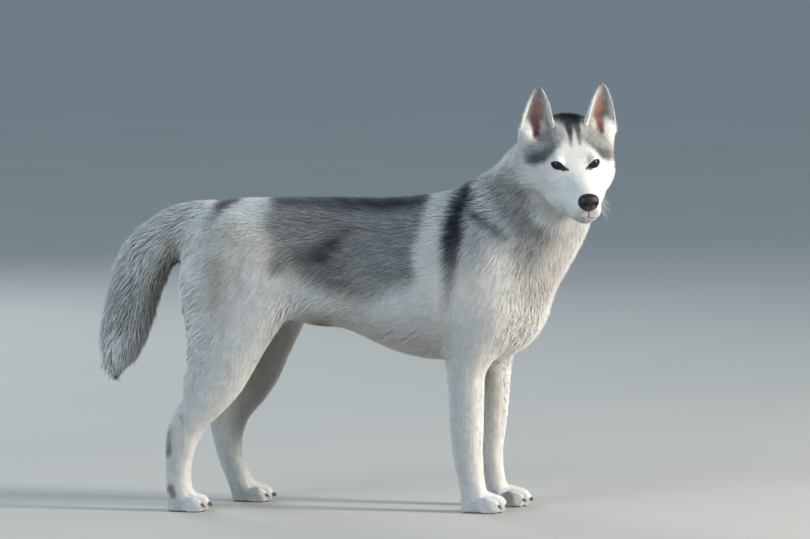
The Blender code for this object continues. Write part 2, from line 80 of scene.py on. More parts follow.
# Skin
SEAL = 0.0005
SKIN_VOXEL = 0.0025
BODY_TRIANGLES = 46000
SMOOTH_ROUNDS = {"ear": 2, "paw": 5, "leg": 24, "head": 30, "": 60}
FACE_ROUNDS = 9
DEEPEST_SHARE = 0.30

# How the coat lies: name, place, lie, depth and tuft length in mm, unruliness, reach.
# Places are on the dog's left and hold for the right as well.
BODY_LIE = (
    ("withers", (0.19, 0.03, 0.58), (-1.0, 0.10, -0.10), 12, 30, 0.12, 0.08),
    ("back", (0.05, 0.03, 0.575), (-1.0, 0.10, -0.05), 11, 27, 0.08, 0.08),
    ("loin", (-0.08, 0.03, 0.575), (-1.0, 0.10, -0.05), 11, 27, 0.08, 0.08),
    ("croup", (-0.20, 0.03, 0.565), (-0.90, 0.15, -0.35), 11, 27, 0.10, 0.08),
    ("tail_head", (-0.27, 0.02, 0.55), (-0.95, 0.10, -0.35), 12, 32, 0.15, 0.06),
    ("ribs_high", (0.10, 0.10, 0.50), (-0.92, 0.05, -0.30), 12, 27, 0.08, 0.08),
    ("ribs_low", (0.10, 0.11, 0.38), (-0.90, 0.00, -0.42), 12, 28, 0.10, 0.08),
    ("flank_high", (-0.08, 0.09, 0.50), (-0.92, 0.05, -0.35), 11, 27, 0.10, 0.08),
    ("flank_low", (-0.05, 0.09, 0.40), (-0.85, 0.00, -0.52), 11, 30, 0.16, 0.07),
    ("flank_fold", (-0.10, 0.085, 0.36), (-0.65, 0.00, -0.76), 10, 32, 0.25, 0.05),
    ("brisket", (0.14, 0.05, 0.29), (-0.90, -0.20, -0.30), 12, 30, 0.20, 0.07),
    ("belly", (-0.03, 0.04, 0.335), (-0.90, -0.20, -0.30), 8, 24, 0.20, 0.06),
    ("shoulder", (0.24, 0.10, 0.45), (-0.50, 0.10, -0.86), 11, 26, 0.10, 0.07),
    ("arm", (0.23, 0.10, 0.36), (-0.35, 0.00, -0.95), 8, 19, 0.10, 0.06),
    ("elbow", (0.19, 0.08, 0.31), (-0.35, 0.00, -0.95), 7, 18, 0.15, 0.04),
    ("hip", (-0.24, 0.09, 0.51), (-0.75, 0.15, -0.65), 11, 27, 0.12, 0.06),
    ("thigh_front", (-0.13, 0.10, 0.44), (-0.50, 0.05, -0.86), 10, 25, 0.15, 0.05),
    ("thigh", (-0.19, 0.11, 0.40), (-0.50, 0.05, -0.86), 10, 25, 0.26, 0.05),
    ("thigh_wool", (-0.24, 0.105, 0.385), (-0.75, 0.10, -0.66), 12, 28, 0.55, 0.05),
    ("breech", (-0.30, 0.06, 0.43), (-0.75, 0.10, -0.66), 17, 42, 0.26, 0.05),
    ("breech_low", (-0.295, 0.08, 0.33), (-0.62, 0.05, -0.78), 12, 33, 0.25, 0.05),
    ("stifle", (-0.13, 0.10, 0.32), (-0.45, 0.00, -0.89), 7, 18, 0.22, 0.05),
    ("gaskin", (-0.22, 0.09, 0.26), (-0.40, 0.00, -0.92), 5.5, 15, 0.24, 0.05),
    ("hock", (-0.30, 0.10, 0.17), (-0.25, 0.00, -0.97), 4, 12, 0.22, 0.05),
    ("hind_pastern", (-0.30, 0.10, 0.08), (0.05, 0.00, -1.00), 3.5, 11, 0.20, 0.05),
    ("hind_foot", (-0.25, 0.10, 0.02), (0.85, 0.00, -0.52), 2, 7, 0.10, 0.05),
    ("forearm", (0.215, 0.07, 0.24), (-0.15, 0.00, -0.99), 5, 14, 0.22, 0.05),
    ("fore_pastern", (0.215, 0.07, 0.12), (-0.05, 0.00, -1.00), 3.5, 11, 0.20, 0.05),
    ("fore_foot", (0.265, 0.07, 0.02), (0.85, 0.00, -0.52), 2, 7, 0.10, 0.05),
    ("crest", (0.25, 0.02, 0.61), (-0.90, 0.10, -0.42), 13, 31, 0.12, 0.06),
    ("nape", (0.305, 0.02, 0.64), (-0.75, 0.10, -0.66), 13, 31, 0.12, 0.05),
    ("neck_side", (0.32, 0.10, 0.53), (-0.55, 0.10, -0.83), 15, 27, 0.09, 0.06),
    ("neck_base", (0.27, 0.10, 0.47), (-0.55, 0.10, -0.83), 13, 30, 0.12, 0.06),
    ("throat", (0.40, -0.02, 0.52), (-0.10, 0.00, -0.99), 14, 27, 0.09, 0.06),
    ("chest_front", (0.37, 0.03, 0.43), (-0.12, 0.05, -0.99), 14, 28, 0.09, 0.06),
    ("chest_low", (0.31, 0.04, 0.33), (-0.50, 0.00, -0.86), 13, 31, 0.16, 0.06),
    ("tail_root", (-0.30, 0.0, 0.53), (-0.90, 0.00, -0.44), 15, 35, 0.14, 0.05),
    ("tail_middle", (-0.39, 0.0, 0.45), (-0.45, 0.00, -0.89), 22, 40, 0.12, 0.06),
    ("tail_low", (-0.42, 0.0, 0.35), (-0.22, 0.00, -0.97), 20, 40, 0.13, 0.06),
    ("tail_tip", (-0.445, 0.0, 0.26), (-0.12, 0.00, -0.99), 12, 36, 0.20, 0.05),
)
HEAD_LIE = (
    ("nose_top", (0.090, 0.000, -0.020), (-1.0, 0.00, 0.25), 0.7, 3.0, 0.04, 0.022),
    ("bridge", (0.050, 0.000, -0.010), (-1.0, 0.00, 0.20), 1.0, 4.5, 0.04, 0.025),
    ("bridge_side", (0.050, 0.028, -0.032), (-1.0, 0.20, -0.05), 1.2, 4.5, 0.05, 0.022),
    ("lip", (0.080, 0.025, -0.050), (-0.9, 0.35, -0.25), 1.0, 4.0, 0.06, 0.018),
    ("lip_back", (0.028, 0.046, -0.055), (-0.9, 0.35, -0.30), 2.0, 7.0, 0.06, 0.022),
    ("chin", (0.080, 0.006, -0.080), (-0.95, 0.05, -0.25), 1.5, 6.0, 0.10, 0.018),
    ("jaw", (0.030, 0.022, -0.086), (-1.0, 0.10, -0.20), 4.0, 12.0, 0.10, 0.025),
    ("stop", (0.008, 0.000, 0.008), (-0.8, 0.00, 0.60), 1.2, 5.0, 0.04, 0.020),
    ("under_eye", (0.008, 0.036, -0.016), (-0.85, 0.50, -0.20), 1.2, 5.0, 0.05, 0.016),
    ("brow", (-0.004, 0.024, 0.022), (-0.75, 0.35, 0.55), 1.5, 6.0, 0.05, 0.016),
    ("outer_eye", (-0.016, 0.052, 0.004), (-0.80, 0.60, 0.00), 1.5, 6.0, 0.05, 0.014),
    ("forehead", (-0.030, 0.014, 0.048), (-0.85, 0.10, 0.50), 2.5, 9.0, 0.06, 0.022),
    ("crown", (-0.065, 0.000, 0.068), (-1.0, 0.00, 0.05), 4.5, 14.0, 0.08, 0.025),
    ("poll", (-0.105, 0.000, 0.058), (-0.90, 0.00, -0.43), 9.0, 22.0, 0.10, 0.030),
    ("temple", (-0.030, 0.066, 0.016), (-0.80, 0.60, 0.10), 3.0, 10.0, 0.06, 0.022),
    ("cheek", (-0.015, 0.062, -0.030), (-0.75, 0.60, -0.35), 4.5, 13.0, 0.08, 0.025),
    ("cheek_ruff", (-0.048, 0.088, -0.035), (-0.80, 0.40, -0.50), 9.0, 24.0, 0.16, 0.028),
    ("jaw_ruff", (-0.030, 0.050, -0.085), (-0.80, 0.30, -0.55), 9.0, 25.0, 0.18, 0.028),
    ("under_jaw", (-0.060, 0.015, -0.100), (-0.85, 0.05, -0.55), 11.0, 28.0, 0.15, 0.030),
    ("ear_back_root", (-0.090, 0.062, 0.048), (-0.80, 0.30, -0.40), 6.0, 17.0, 0.10, 0.022),
    ("ear_out_root", (-0.062, 0.088, 0.028), (-0.75, 0.45, -0.20), 5.0, 14.0, 0.10, 0.020),
)

# Ears, in the head's frame
EAR_BASE = (-0.064, 0.0570, 0.036)
EAR_TIP = (-0.052, 0.0595, 0.139)
EAR_HALF_WIDTH = 0.032
EAR_TURN = math.radians(12)
EAR_DEPTH = 0.8
EAR_LENGTH = 6.0

# Pigments
WHITE = np.array((0.78, 0.775, 0.755))
DARK = np.array((0.013, 0.017, 0.026))
TAN = np.array((0.52, 0.40, 0.285))
EAR_PINK = np.array((0.27, 0.150, 0.128))
# The ear's deep colour is painted shade, darkening the hollow where the ear's canal opens.
EAR_HOLLOW_SHADE = np.array((0.085, 0.028, 0.026))
RIM_BLACK = np.array((0.010, 0.008, 0.009))
LIP_BLACK = np.array((0.022, 0.016, 0.017))
PAD_GREY = np.array((0.060, 0.045, 0.042))

# Markings seen from the side, x and z: name, feather, points of x, z, radius, darkness
BODY_MARKS = (
    ("neck grey", 0.030, ((0.20, 0.575, 0.035, 0.58), (0.26, 0.575, 0.050, 0.58), (0.315, 0.540, 0.058, 0.60),
                          (0.335, 0.475, 0.048, 0.56), (0.352, 0.410, 0.030, 0.38))),
    ("shoulder", 0.030, ((0.215, 0.500, 0.030, 0.34), (0.225, 0.440, 0.025, 0.25))),
    ("nape", 0.020, ((0.290, 0.655, 0.018, 0.18), (0.315, 0.650, 0.015, 0.15))),
    ("mantle", 0.024, ((-0.112, 0.525, 0.055, 0.66), (-0.045, 0.492, 0.082, 0.72), (0.020, 0.480, 0.090, 0.66),
                       (0.075, 0.490, 0.084, 0.66), (0.120, 0.520, 0.058, 0.64))),
    ("low flank", 0.026, ((-0.100, 0.455, 0.020, 0.72), (-0.034, 0.420, 0.024, 0.72), (0.024, 0.398, 0.018, 0.58))),
    ("topline", 0.012, ((-0.136, 0.580, 0.024, 0.97), (-0.060, 0.582, 0.028, 0.92), (0.060, 0.584, 0.038, 1.0),
                        (0.130, 0.586, 0.030, 0.96))),
    ("flank patch", 0.012, ((-0.096, 0.462, 0.010, 0.85), (-0.055, 0.465, 0.017, 0.96), (-0.022, 0.500, 0.010, 0.90),
                            (-0.006, 0.512, 0.006, 0.85))),
    ("haunch edge", 0.016, ((-0.128, 0.500, 0.018, 0.66), (-0.134, 0.440, 0.018, 0.64))),
    ("pale stripe", 0.008, ((0.150, 0.588, 0.010, 0.32), (0.149, 0.555, 0.018, 0.10), (0.146, 0.520, 0.021, 0.0),
                            (0.135, 0.468, 0.025, 0.0), (0.142, 0.430, 0.026, 0.0), (0.150, 0.400, 0.024, 0.04))),
    ("black stripe", 0.009, ((0.208, 0.592, 0.013, 1.0), (0.187, 0.553, 0.016, 1.0), (0.182, 0.500, 0.020, 1.0),
                             (0.181, 0.460, 0.016, 0.90), (0.180, 0.430, 0.013, 0.64), (0.178, 0.375, 0.010, 0.36))),
    ("neck pale", 0.010, ((0.222, 0.588, 0.012, 0.30), (0.246, 0.545, 0.014, 0.26), (0.287, 0.495, 0.015, 0.16))),
    ("neck line", 0.006, ((0.220, 0.540, 0.0075, 0.92), (0.250, 0.517, 0.0070, 0.86), (0.283, 0.495, 0.006, 0.62))),
    ("tail spot", 0.007, ((-0.222, 0.580, 0.021, 1.0), (-0.244, 0.558, 0.012, 0.95), (-0.268, 0.515, 0.007, 0.45))),
    ("groin", 0.012, ((-0.056, 0.336, 0.008, 0.26), (-0.072, 0.340, 0.008, 0.22))),
    ("wool", 0.014, ((-0.248, 0.440, 0.016, 0.32), (-0.250, 0.350, 0.012, 0.26))),
    ("wool front", 0.010, ((-0.206, 0.440, 0.007, 0.34), (-0.198, 0.388, 0.006, 0.32))),
    ("croup", 0.040, ((-0.245, 0.500, 0.020, 0.22), (-0.190, 0.480, 0.030, 0.24))),
    ("hock", 0.005, ((-0.305, 0.172, 0.003, 0.45), (-0.305, 0.170, 0.003, 0.45))),
    ("cannon", 0.008, ((-0.328, 0.142, 0.004, 0.42), (-0.329, 0.104, 0.006, 0.62))),
    ("cannon front", 0.004, ((-0.302, 0.166, 0.002, 0.34), (-0.300, 0.080, 0.001, 0.20))),
    ("heel", 0.006, ((-0.325, 0.040, 0.006, 0.65), (-0.318, 0.028, 0.006, 0.50))),
)
HAUNCH_EDGE = [mark[0] for mark in BODY_MARKS].index("haunch edge")
TAIL_MARKS = (
    ("tail spot", 0.007, ((-0.236, 0.574, 0.020, 1.0), (-0.254, 0.550, 0.010, 0.90), (-0.270, 0.515, 0.007, 0.50))),
    ("tail upper", 0.040, ((-0.320, 0.530, 0.040, 0.38), (-0.400, 0.430, 0.055, 0.32), (-0.425, 0.350, 0.060, 0.46),
                           (-0.442, 0.270, 0.040, 0.12))),
    ("tail inner", 0.016, ((-0.325, 0.470, 0.010, 0.55), (-0.345, 0.425, 0.012, 0.55), (-0.368, 0.370, 0.010, 0.48))),
    ("tail middle", 0.022, ((-0.415, 0.385, 0.014, 0.50), (-0.425, 0.330, 0.016, 0.56))),
)
# Warm tints seen from the side: name, feather, points of x, z, radius, warmth
BODY_TINTS = (
    ("low flank", 0.040, ((-0.090, 0.445, 0.020, 0.42), (-0.040, 0.420, 0.020, 0.42), (0.000, 0.385, 0.020, 0.32))),
    ("belly", 0.030, ((0.160, 0.305, 0.030, 0.36), (0.080, 0.310, 0.020, 0.26), (-0.020, 0.330, 0.020, 0.26))),
    ("chest", 0.050, ((0.370, 0.500, 0.035, 0.24), (0.360, 0.420, 0.040, 0.22), (0.300, 0.330, 0.030, 0.20))),
    ("inner tail", 0.030, ((-0.330, 0.460, 0.020, 0.50), (-0.360, 0.380, 0.020, 0.42))),
    ("groin", 0.014, ((-0.054, 0.334, 0.010, 0.80), (-0.072, 0.338, 0.008, 0.70))),
    ("wool", 0.030, ((-0.240, 0.440, 0.020, 0.42), (-0.235, 0.350, 0.015, 0.34))),
    ("croup", 0.040, ((-0.220, 0.500, 0.020, 0.30), (-0.150, 0.470, 0.020, 0.26))),
    ("breech", 0.030, ((-0.300, 0.420, 0.020, 0.12), (-0.295, 0.340, 0.020, 0.16))),
)
# Markings on both sides of the head, in its frame: name, feather, points of x, y, z, radius, darkness
HEAD_MARKS = (
    ("behind the cheek", 0.012, ((-0.078, 0.080, -0.015, 0.018, 0.32), (-0.070, 0.086, -0.065, 0.022, 0.62),
                                 (-0.052, 0.066, -0.102, 0.022, 0.60), (-0.050, 0.025, -0.118, 0.016, 0.38))),
    ("poll", 0.018, ((-0.085, 0.000, 0.066, 0.034, 0.88), (-0.105, 0.010, 0.056, 0.036, 0.74),
                    (-0.125, 0.030, 0.020, 0.030, 0.50))),
    ("cap", 0.008, ((-0.063, 0.000, 0.070, 0.018, 1.0), (-0.062, 0.028, 0.066, 0.016, 0.98))),
    ("forehead", 0.009, ((-0.052, 0.028, 0.060, 0.014, 0.60), (-0.038, 0.042, 0.047, 0.018, 0.66),
                         (-0.036, 0.060, 0.032, 0.018, 0.64), (-0.046, 0.078, 0.010, 0.013, 0.52))),
    ("inner forehead", 0.008, ((-0.048, 0.020, 0.061, 0.010, 0.54), (-0.030, 0.020, 0.046, 0.009, 0.50))),
    ("forehead light", 0.006, ((-0.047, 0.020, 0.061, 0.003, 0.24), (-0.038, 0.018, 0.054, 0.002, 0.32))),
    ("temple", 0.007, ((-0.024, 0.032, 0.037, 0.009, 0.68), (-0.019, 0.047, 0.026, 0.010, 0.84),
                       (-0.020, 0.058, 0.013, 0.012, 0.90), (-0.031, 0.071, 0.005, 0.012, 0.88),
                       (-0.044, 0.083, -0.001, 0.009, 0.66))),
    ("brow", 0.005, ((-0.006, 0.021, 0.026, 0.008, 0.0), (0.000, 0.031, 0.018, 0.005, 0.0),
                     (-0.002, 0.042, 0.010, 0.004, 0.10))),
)
# Markings down the middle of the forehead, in the head's frame, not mirrored
MIDDLE_MARKS = (
    ("right furrow", 0.0035, ((-0.056, -0.003, 0.067, 0.008, 1.0), (-0.034, -0.002, 0.050, 0.0066, 1.0),
                              (-0.017, -0.004, 0.036, 0.0044, 0.55))),
    ("left furrow", 0.0035, ((-0.056, 0.013, 0.066, 0.008, 1.0), (-0.034, 0.013, 0.050, 0.0052, 0.85),
                             (-0.018, 0.012, 0.037, 0.0036, 0.60))),
    ("blaze", 0.0035, ((-0.036, 0.004, 0.053, 0.0014, 0.34), (-0.026, 0.003, 0.044, 0.0026, 0.16),
                       (-0.010, 0.002, 0.029, 0.0060, 0.02), (0.008, 0.000, 0.009, 0.0120, 0.0))),
)
HEAD_TINTS = (
    ("low cheek", 0.016, ((-0.018, 0.055, -0.080, 0.010, 0.42), (0.020, 0.040, -0.078, 0.010, 0.30))),
    ("temple end", 0.010, ((-0.026, 0.070, 0.000, 0.008, 0.35),)),
)

# The mouth's line, in the head's frame
MOUTH = (
    (0.1000, 0.000, -0.0625),
    (0.0965, 0.008, -0.0650),
    (0.0900, 0.017, -0.0660),
    (0.0780, 0.024, -0.0665),
    (0.0600, 0.031, -0.0680),
    (0.0400, 0.038, -0.0695),
    (0.0220, 0.046, -0.0680),
    (0.0080, 0.052, -0.0620),
)

# The coat: widths against length, layers of tufts, and shapes
LONG_FUR = 0.0335
WIDTH_SHARE = 0.048
NARROWEST = 0.0008
WIDEST = 0.0016
CLUMP_EVERY = 12
PATCH = 0.003
MOST_TRIANGLES = 199000


def deselect():
    if bpy.context.object and bpy.context.object.mode != "OBJECT":
        bpy.ops.object.mode_set(mode="OBJECT")
    bpy.ops.object.select_all(action="DESELECT")


def select_only(thing):
    deselect()
    thing.select_set(True)
    bpy.context.view_layer.objects.active = thing


def linked(name, mesh):
    thing = bpy.data.objects.new(name, mesh)
    bpy.context.scene.collection.objects.link(thing)
    return thing


def unit(vectors):
    lengths = np.linalg.norm(vectors, axis=-1, keepdims=True)
    return vectors / np.maximum(lengths, 1e-12)


def smoothstep(low, high, value):
    t = np.clip((value - low) / (high - low), 0.0, 1.0)
    return t * t * (3 - 2 * t)


def in_dog(points):
    """From the CAD's frame to the dog's own."""
    return points - np.array(STAND)


def in_head(points):
    return (points - np.array(HEAD_ORIGIN)) @ np.array(HEAD_TURN)


def from_head(places):
    return np.asarray(places) @ np.array(HEAD_TURN).T + np.array(HEAD_ORIGIN)


def read_points(mesh):
    points = np.empty(len(mesh.vertices) * 3, np.float32)
    mesh.vertices.foreach_get("co", points)
    return points.reshape(-1, 3).astype(float)


def write_points(mesh, points):
    mesh.vertices.foreach_set("co", np.ascontiguousarray(points, np.float32).ravel())
    mesh.update()


def read_edges(mesh):
    edges = np.empty(len(mesh.edges) * 2, np.int32)
    mesh.edges.foreach_get("vertices", edges)
    return edges.reshape(-1, 2)


def read_triangles(mesh):
    corners = np.empty(len(mesh.loops), np.int32)
    mesh.loops.foreach_get("vertex_index", corners)
    return corners.reshape(-1, 3)


def read_normals(mesh):
    normals = np.empty(len(mesh.vertices) * 3, np.float32)
    mesh.vertices.foreach_get("normal", normals)
    return normals.reshape(-1, 3).astype(float)


def neighbour_mean(values, edges, counts):
    """The mean of each point's neighbours."""
    found = np.empty_like(values)
    for column in range(values.shape[1]):
        share = values[:, column]
        total = np.bincount(edges[:, 0], share[edges[:, 1]], len(share))
        total += np.bincount(edges[:, 1], share[edges[:, 0]], len(share))
        found[:, column] = total / counts
    return found


def softened(values, edges, rounds):
    """Values blended with their neighbours' so many times; rounds may differ from point to point."""
    values = np.array(values, float)
    flat = values.ndim == 1
    if flat:
        values = values[:, None]
    counts = np.maximum(np.bincount(edges.ravel(), minlength=len(values)), 1)
    rounds = np.broadcast_to(rounds, (len(values),))
    for done in range(int(np.max(rounds))):
        share = 0.5 * np.clip(rounds - done, 0.0, 1.0)[:, None]
        values = values + share * (neighbour_mean(values, edges, counts) - values)
    return values[:, 0] if flat else values


def to_path(points, path):
    """Each point's distance to a path of points, and how far along the path that is."""
    path = np.asarray(path, float)
    best = np.full(len(points), 1e9)
    along = np.zeros(len(points))
    for index in range(max(len(path) - 1, 1)):
        start, end = path[index], path[min(index + 1, len(path) - 1)]
        step = end - start
        share = np.clip((points - start) @ step / max(step @ step, 1e-12), 0.0, 1.0)
        distance = np.linalg.norm(points - start - share[:, None] * step, axis=1)
        nearer = distance < best
        best[nearer] = distance[nearer]
        along[nearer] = index + share[nearer]
    return best, along


def stroke(value, points, mark):
    """Lays one soft-edged mark over the value."""
    _, feather, path = mark
    path = np.array(path)
    sizes = points.shape[1]
    distance, along = to_path(points, path[:, :sizes])
    steps = np.arange(len(path))
    radius = np.interp(along, steps, path[:, sizes])
    amount = np.interp(along, steps, path[:, sizes + 1])
    weight = 1 - smoothstep(-feather, feather, distance - radius)
    return value + weight * (amount - value)


def camera():
    data = bpy.data.cameras.new("camera")
    data.sensor_width = CAMERA_SENSOR
    data.lens = CAMERA_LENS
    data.clip_end = 200.0
    made = bpy.data.objects.new("camera", data)
    away = Vector((math.sin(CAMERA_ROUND), -math.cos(CAMERA_ROUND), 0.0)) * CAMERA_DISTANCE
    made.location = STAND + away + Vector((0, 0, CAMERA_HEIGHT))
    made.rotation_euler = (math.radians(90) - CAMERA_DOWN, 0, CAMERA_ROUND - CAMERA_ASIDE)
    bpy.context.scene.collection.objects.link(made)
    bpy.context.scene.camera = made


def light(name, place, target, size, power, colour):
    data = bpy.data.lights.new(name, "AREA")
    data.shape = "DISK"
    data.size = size
    data.energy = power
    data.color = colour
    made = bpy.data.objects.new(name, data)
    made.location = place
    made.rotation_euler = (Vector(target) - Vector(place)).to_track_quat("-Z", "Y").to_euler()
    bpy.context.scene.collection.objects.link(made)


def studio():
    world = bpy.data.worlds.new("studio")
    world.use_nodes = True
    sky = world.node_tree.nodes["Background"]
    sky.inputs["Color"].default_value = (0.60, 0.82, 1.0, 1.0)
    sky.inputs["Strength"].default_value = 0.56
    bpy.context.scene.world = world
    bpy.context.scene.view_settings.view_transform = "Standard"
    light("key", (5.3, -0.90, 2.3), (0.1, 0.0, 0.4), 1.4, 490, (1.0, 0.93, 0.82))
    light("fill", (-3.5, 5.0, 3.0), (0.0, 0.0, 0.4), 3.0, 150, (0.90, 0.96, 1.0))
    light("sky", (-3.8, -6.5, 3.6), (0.0, 0.0, 0.4), 4.0, 330, (0.80, 0.91, 1.0))
    deselect()
    bpy.ops.mesh.primitive_plane_add(size=160.0, location=(0, 0, 0))
    floor = bpy.context.object
    floor.name = "floor"
    floor.data.materials.append(floor_material())


def new_material(name, roughness):
    """A material with its node tree emptied to a Principled shader, and that tree's nodes and links."""
    made = bpy.data.materials.new(name)
    made.use_nodes = True
    tree = made.node_tree
    shader = tree.nodes["Principled BSDF"]
    shader.inputs["Roughness"].default_value = roughness
    return made, tree, shader


def noise(tree, scale, detail=4.0, stretch=None, turn=None):
    """A noise pattern over the piece's own coordinates."""
    place = tree.nodes.new("ShaderNodeTexCoord")
    grain = tree.nodes.new("ShaderNodeTexNoise")
    grain.inputs["Scale"].default_value = scale
    grain.inputs["Detail"].default_value = detail
    if stretch:
        mapping = tree.nodes.new("ShaderNodeMapping")
        mapping.inputs["Scale"].default_value = stretch
        if turn:
            mapping.inputs["Rotation"].default_value = turn
        tree.links.new(place.outputs["Object"], mapping.inputs["Vector"])
        tree.links.new(mapping.outputs["Vector"], grain.inputs["Vector"])
    else:
        tree.links.new(place.outputs["Object"], grain.inputs["Vector"])
    return grain.outputs["Fac"]


def scaled(tree, value, low, high):
    """The value, 0 to 1, carried to low to high."""
    node = tree.nodes.new("ShaderNodeMapRange")
    node.inputs["To Min"].default_value = low
    node.inputs["To Max"].default_value = high
    tree.links.new(value, node.inputs["Value"])
    return node.outputs["Result"]


def multiplied(tree, colour, factor):
    node = tree.nodes.new("ShaderNodeVectorMath")
    node.operation = "SCALE"
    tree.links.new(colour, node.inputs[0])
    tree.links.new(factor, node.inputs["Scale"])
    return node.outputs["Vector"]


def bumped(tree, shader, height, strength, distance):
    bump = tree.nodes.new("ShaderNodeBump")
    bump.inputs["Strength"].default_value = strength
    bump.inputs["Distance"].default_value = distance
    tree.links.new(height, bump.inputs["Height"])
    tree.links.new(bump.outputs["Normal"], shader.inputs["Normal"])


def floor_material():
    made, tree, shader = new_material("studio_floor", 0.85)
    ramp = tree.nodes.new("ShaderNodeValToRGB")
    ramp.color_ramp.elements[0].color = (0.385, 0.365, 0.340, 1)
    ramp.color_ramp.elements[1].color = (0.425, 0.405, 0.378, 1)
    tree.links.new(noise(tree, 1.3), ramp.inputs["Fac"])
    place = tree.nodes.new("ShaderNodeTexCoord")
    far = tree.nodes.new("ShaderNodeVectorMath")
    far.operation = "LENGTH"
    tree.links.new(place.outputs["Object"], far.inputs[0])
    fade = tree.nodes.new("ShaderNodeMapRange")
    fade.inputs["From Min"].default_value = 50.0
    fade.inputs["From Max"].default_value = 79.0
    tree.links.new(far.outputs["Value"], fade.inputs["Value"])
    blend = tree.nodes.new("ShaderNodeMixRGB")
    blend.inputs["Color2"].default_value = (0.96, 0.97, 0.98, 1)
    tree.links.new(fade.outputs["Result"], blend.inputs["Fac"])
    tree.links.new(ramp.outputs["Color"], blend.inputs["Color1"])
    tree.links.new(blend.outputs["Color"], shader.inputs["Base Color"])
    return made


def coat_material(name, grain, streak):
    """Fur: its own painted tone, varied finely along the hairs."""
    made, tree, shader = new_material(name, 0.72)
    shader.inputs["Specular IOR Level"].default_value = 0.25
    shader.inputs["Sheen Weight"].default_value = 0.12
    shader.inputs["Sheen Roughness"].default_value = 0.5
    tone = tree.nodes.new("ShaderNodeAttribute")
    tone.attribute_name = "tone"
    fine = noise(tree, grain, 3.0, stretch=streak)
    colour = multiplied(tree, tone.outputs["Color"], scaled(tree, fine, 0.82, 1.14))
    tree.links.new(colour, shader.inputs["Base Color"])
    bumped(tree, shader, noise(tree, 2.2 * grain, 2.0, stretch=streak), 0.35, 0.0006)
    tree.links.new(scaled(tree, fine, 0.62, 0.82), shader.inputs["Roughness"])
    return made


def skin_material():
    made, tree, shader = new_material("skin_and_undercoat", 0.8)
    shader.inputs["Specular IOR Level"].default_value = 0.3
    tone = tree.nodes.new("ShaderNodeAttribute")
    tone.attribute_name = "tone"
    fine = noise(tree, 420.0, 4.0)
    colour = multiplied(tree, tone.outputs["Color"], scaled(tree, fine, 0.80, 1.12))
    tree.links.new(colour, shader.inputs["Base Color"])
    bumped(tree, shader, noise(tree, 900.0, 3.0), 0.5, 0.0005)
    tree.links.new(scaled(tree, fine, 0.6, 0.9), shader.inputs["Roughness"])
    return made


def joined_flesh():
    """One object of copies of every node of flesh, with the eyes and nose that swell it."""
    copies = []
    for name, node in nodes.items():
        if not name.startswith("claw"):
            copies.append(linked(f"copy_{name}", node.data.copy()))
    deselect()
    for copied in copies:
        copied.select_set(True)
    bpy.context.view_layer.objects.active = copies[0]
    bpy.ops.object.join()
    skin = bpy.context.object
    skin.name = "skin"
    skin.data.name = "skin"
    bpy.ops.object.mode_set(mode="EDIT")
    bpy.ops.mesh.select_all(action="SELECT")
    bpy.ops.mesh.remove_doubles(threshold=1e-5)
    bpy.ops.object.mode_set(mode="OBJECT")
    return skin


def apply_modifier(thing, kind, **settings):
    select_only(thing)
    modifier = thing.modifiers.new(kind.title(), kind)
    for key, value in settings.items():
        setattr(modifier, key, value)
    bpy.ops.object.modifier_apply(modifier=modifier.name)


def node_of(points):
    """The name of the CAD node nearest to each point."""
    corners, faces, owner = [], [], []
    for name, node in nodes.items():
        first = len(corners)
        corners += [vertex.co for vertex in node.data.vertices]
        for face in node.data.polygons:
            faces.append([first + index for index in face.vertices])
            owner.append(name)
    tree = BVHTree.FromPolygons(corners, faces)
    return np.array([owner[tree.find_nearest(Vector(point))[2]] for point in points])


def starts(names, *starts_with):
    return np.logical_or.reduce([np.char.startswith(names, start) for start in starts_with])


def pick_faces(thing, picked):
    """Goes into edit mode with just the picked faces selected."""
    select_only(thing)
    bpy.ops.object.mode_set(mode="EDIT")
    bpy.ops.mesh.select_mode(type="FACE")
    bpy.ops.mesh.select_all(action="DESELECT")
    bpy.ops.object.mode_set(mode="OBJECT")
    thing.data.polygons.foreach_set("select", picked)
    bpy.ops.object.mode_set(mode="EDIT")


def refine(thing, chosen, cuts=1):
    """Subdivides the faces whose middles are chosen."""
    mesh = thing.data
    points, corners = read_points(mesh), read_triangles(mesh)
    middles = points[corners].mean(1)
    picked = chosen(middles)
    pick_faces(thing, picked)
    bpy.ops.mesh.subdivide(number_cuts=cuts)
    bpy.ops.mesh.select_all(action="SELECT")
    bpy.ops.mesh.quads_convert_to_tris(quad_method="BEAUTY", ngon_method="BEAUTY")
    bpy.ops.object.mode_set(mode="OBJECT")


def anchors():
    """Every anchor of the coat, on both sides, in the CAD's frame."""
    found = []
    for name, place, lie, depth, length, unruly, reach in BODY_LIE:
        for side in (1, -1):
            there = Vector((place[0], side * place[1], place[2])) + STAND
            found.append((*there, lie[0], side * lie[1], lie[2], depth / 1000, length / 1000, unruly, reach))
    for name, place, lie, depth, length, unruly, reach in HEAD_LIE:
        for side in (1, -1):
            there = HEAD_FRAME @ Vector((place[0], side * place[1], place[2]))
            toward = HEAD_TURN @ Vector((lie[0], side * lie[1], lie[2]))
            found.append((*there, *toward, depth / 1000, length / 1000, unruly, reach))
    return np.array(found)


def ear_frame(side):
    """An ear's base, axis, facing and width direction, in the head's frame."""
    base = Vector((EAR_BASE[0], side * EAR_BASE[1], EAR_BASE[2]))
    tip = Vector((EAR_TIP[0], side * EAR_TIP[1], EAR_TIP[2]))
    axis = (tip - base).normalized()
    facing = Vector((math.cos(EAR_TURN), side * math.sin(EAR_TURN), 0))
    facing = (facing - axis * facing.dot(axis)).normalized()
    return base, axis, facing, axis.cross(facing), (tip - base).length


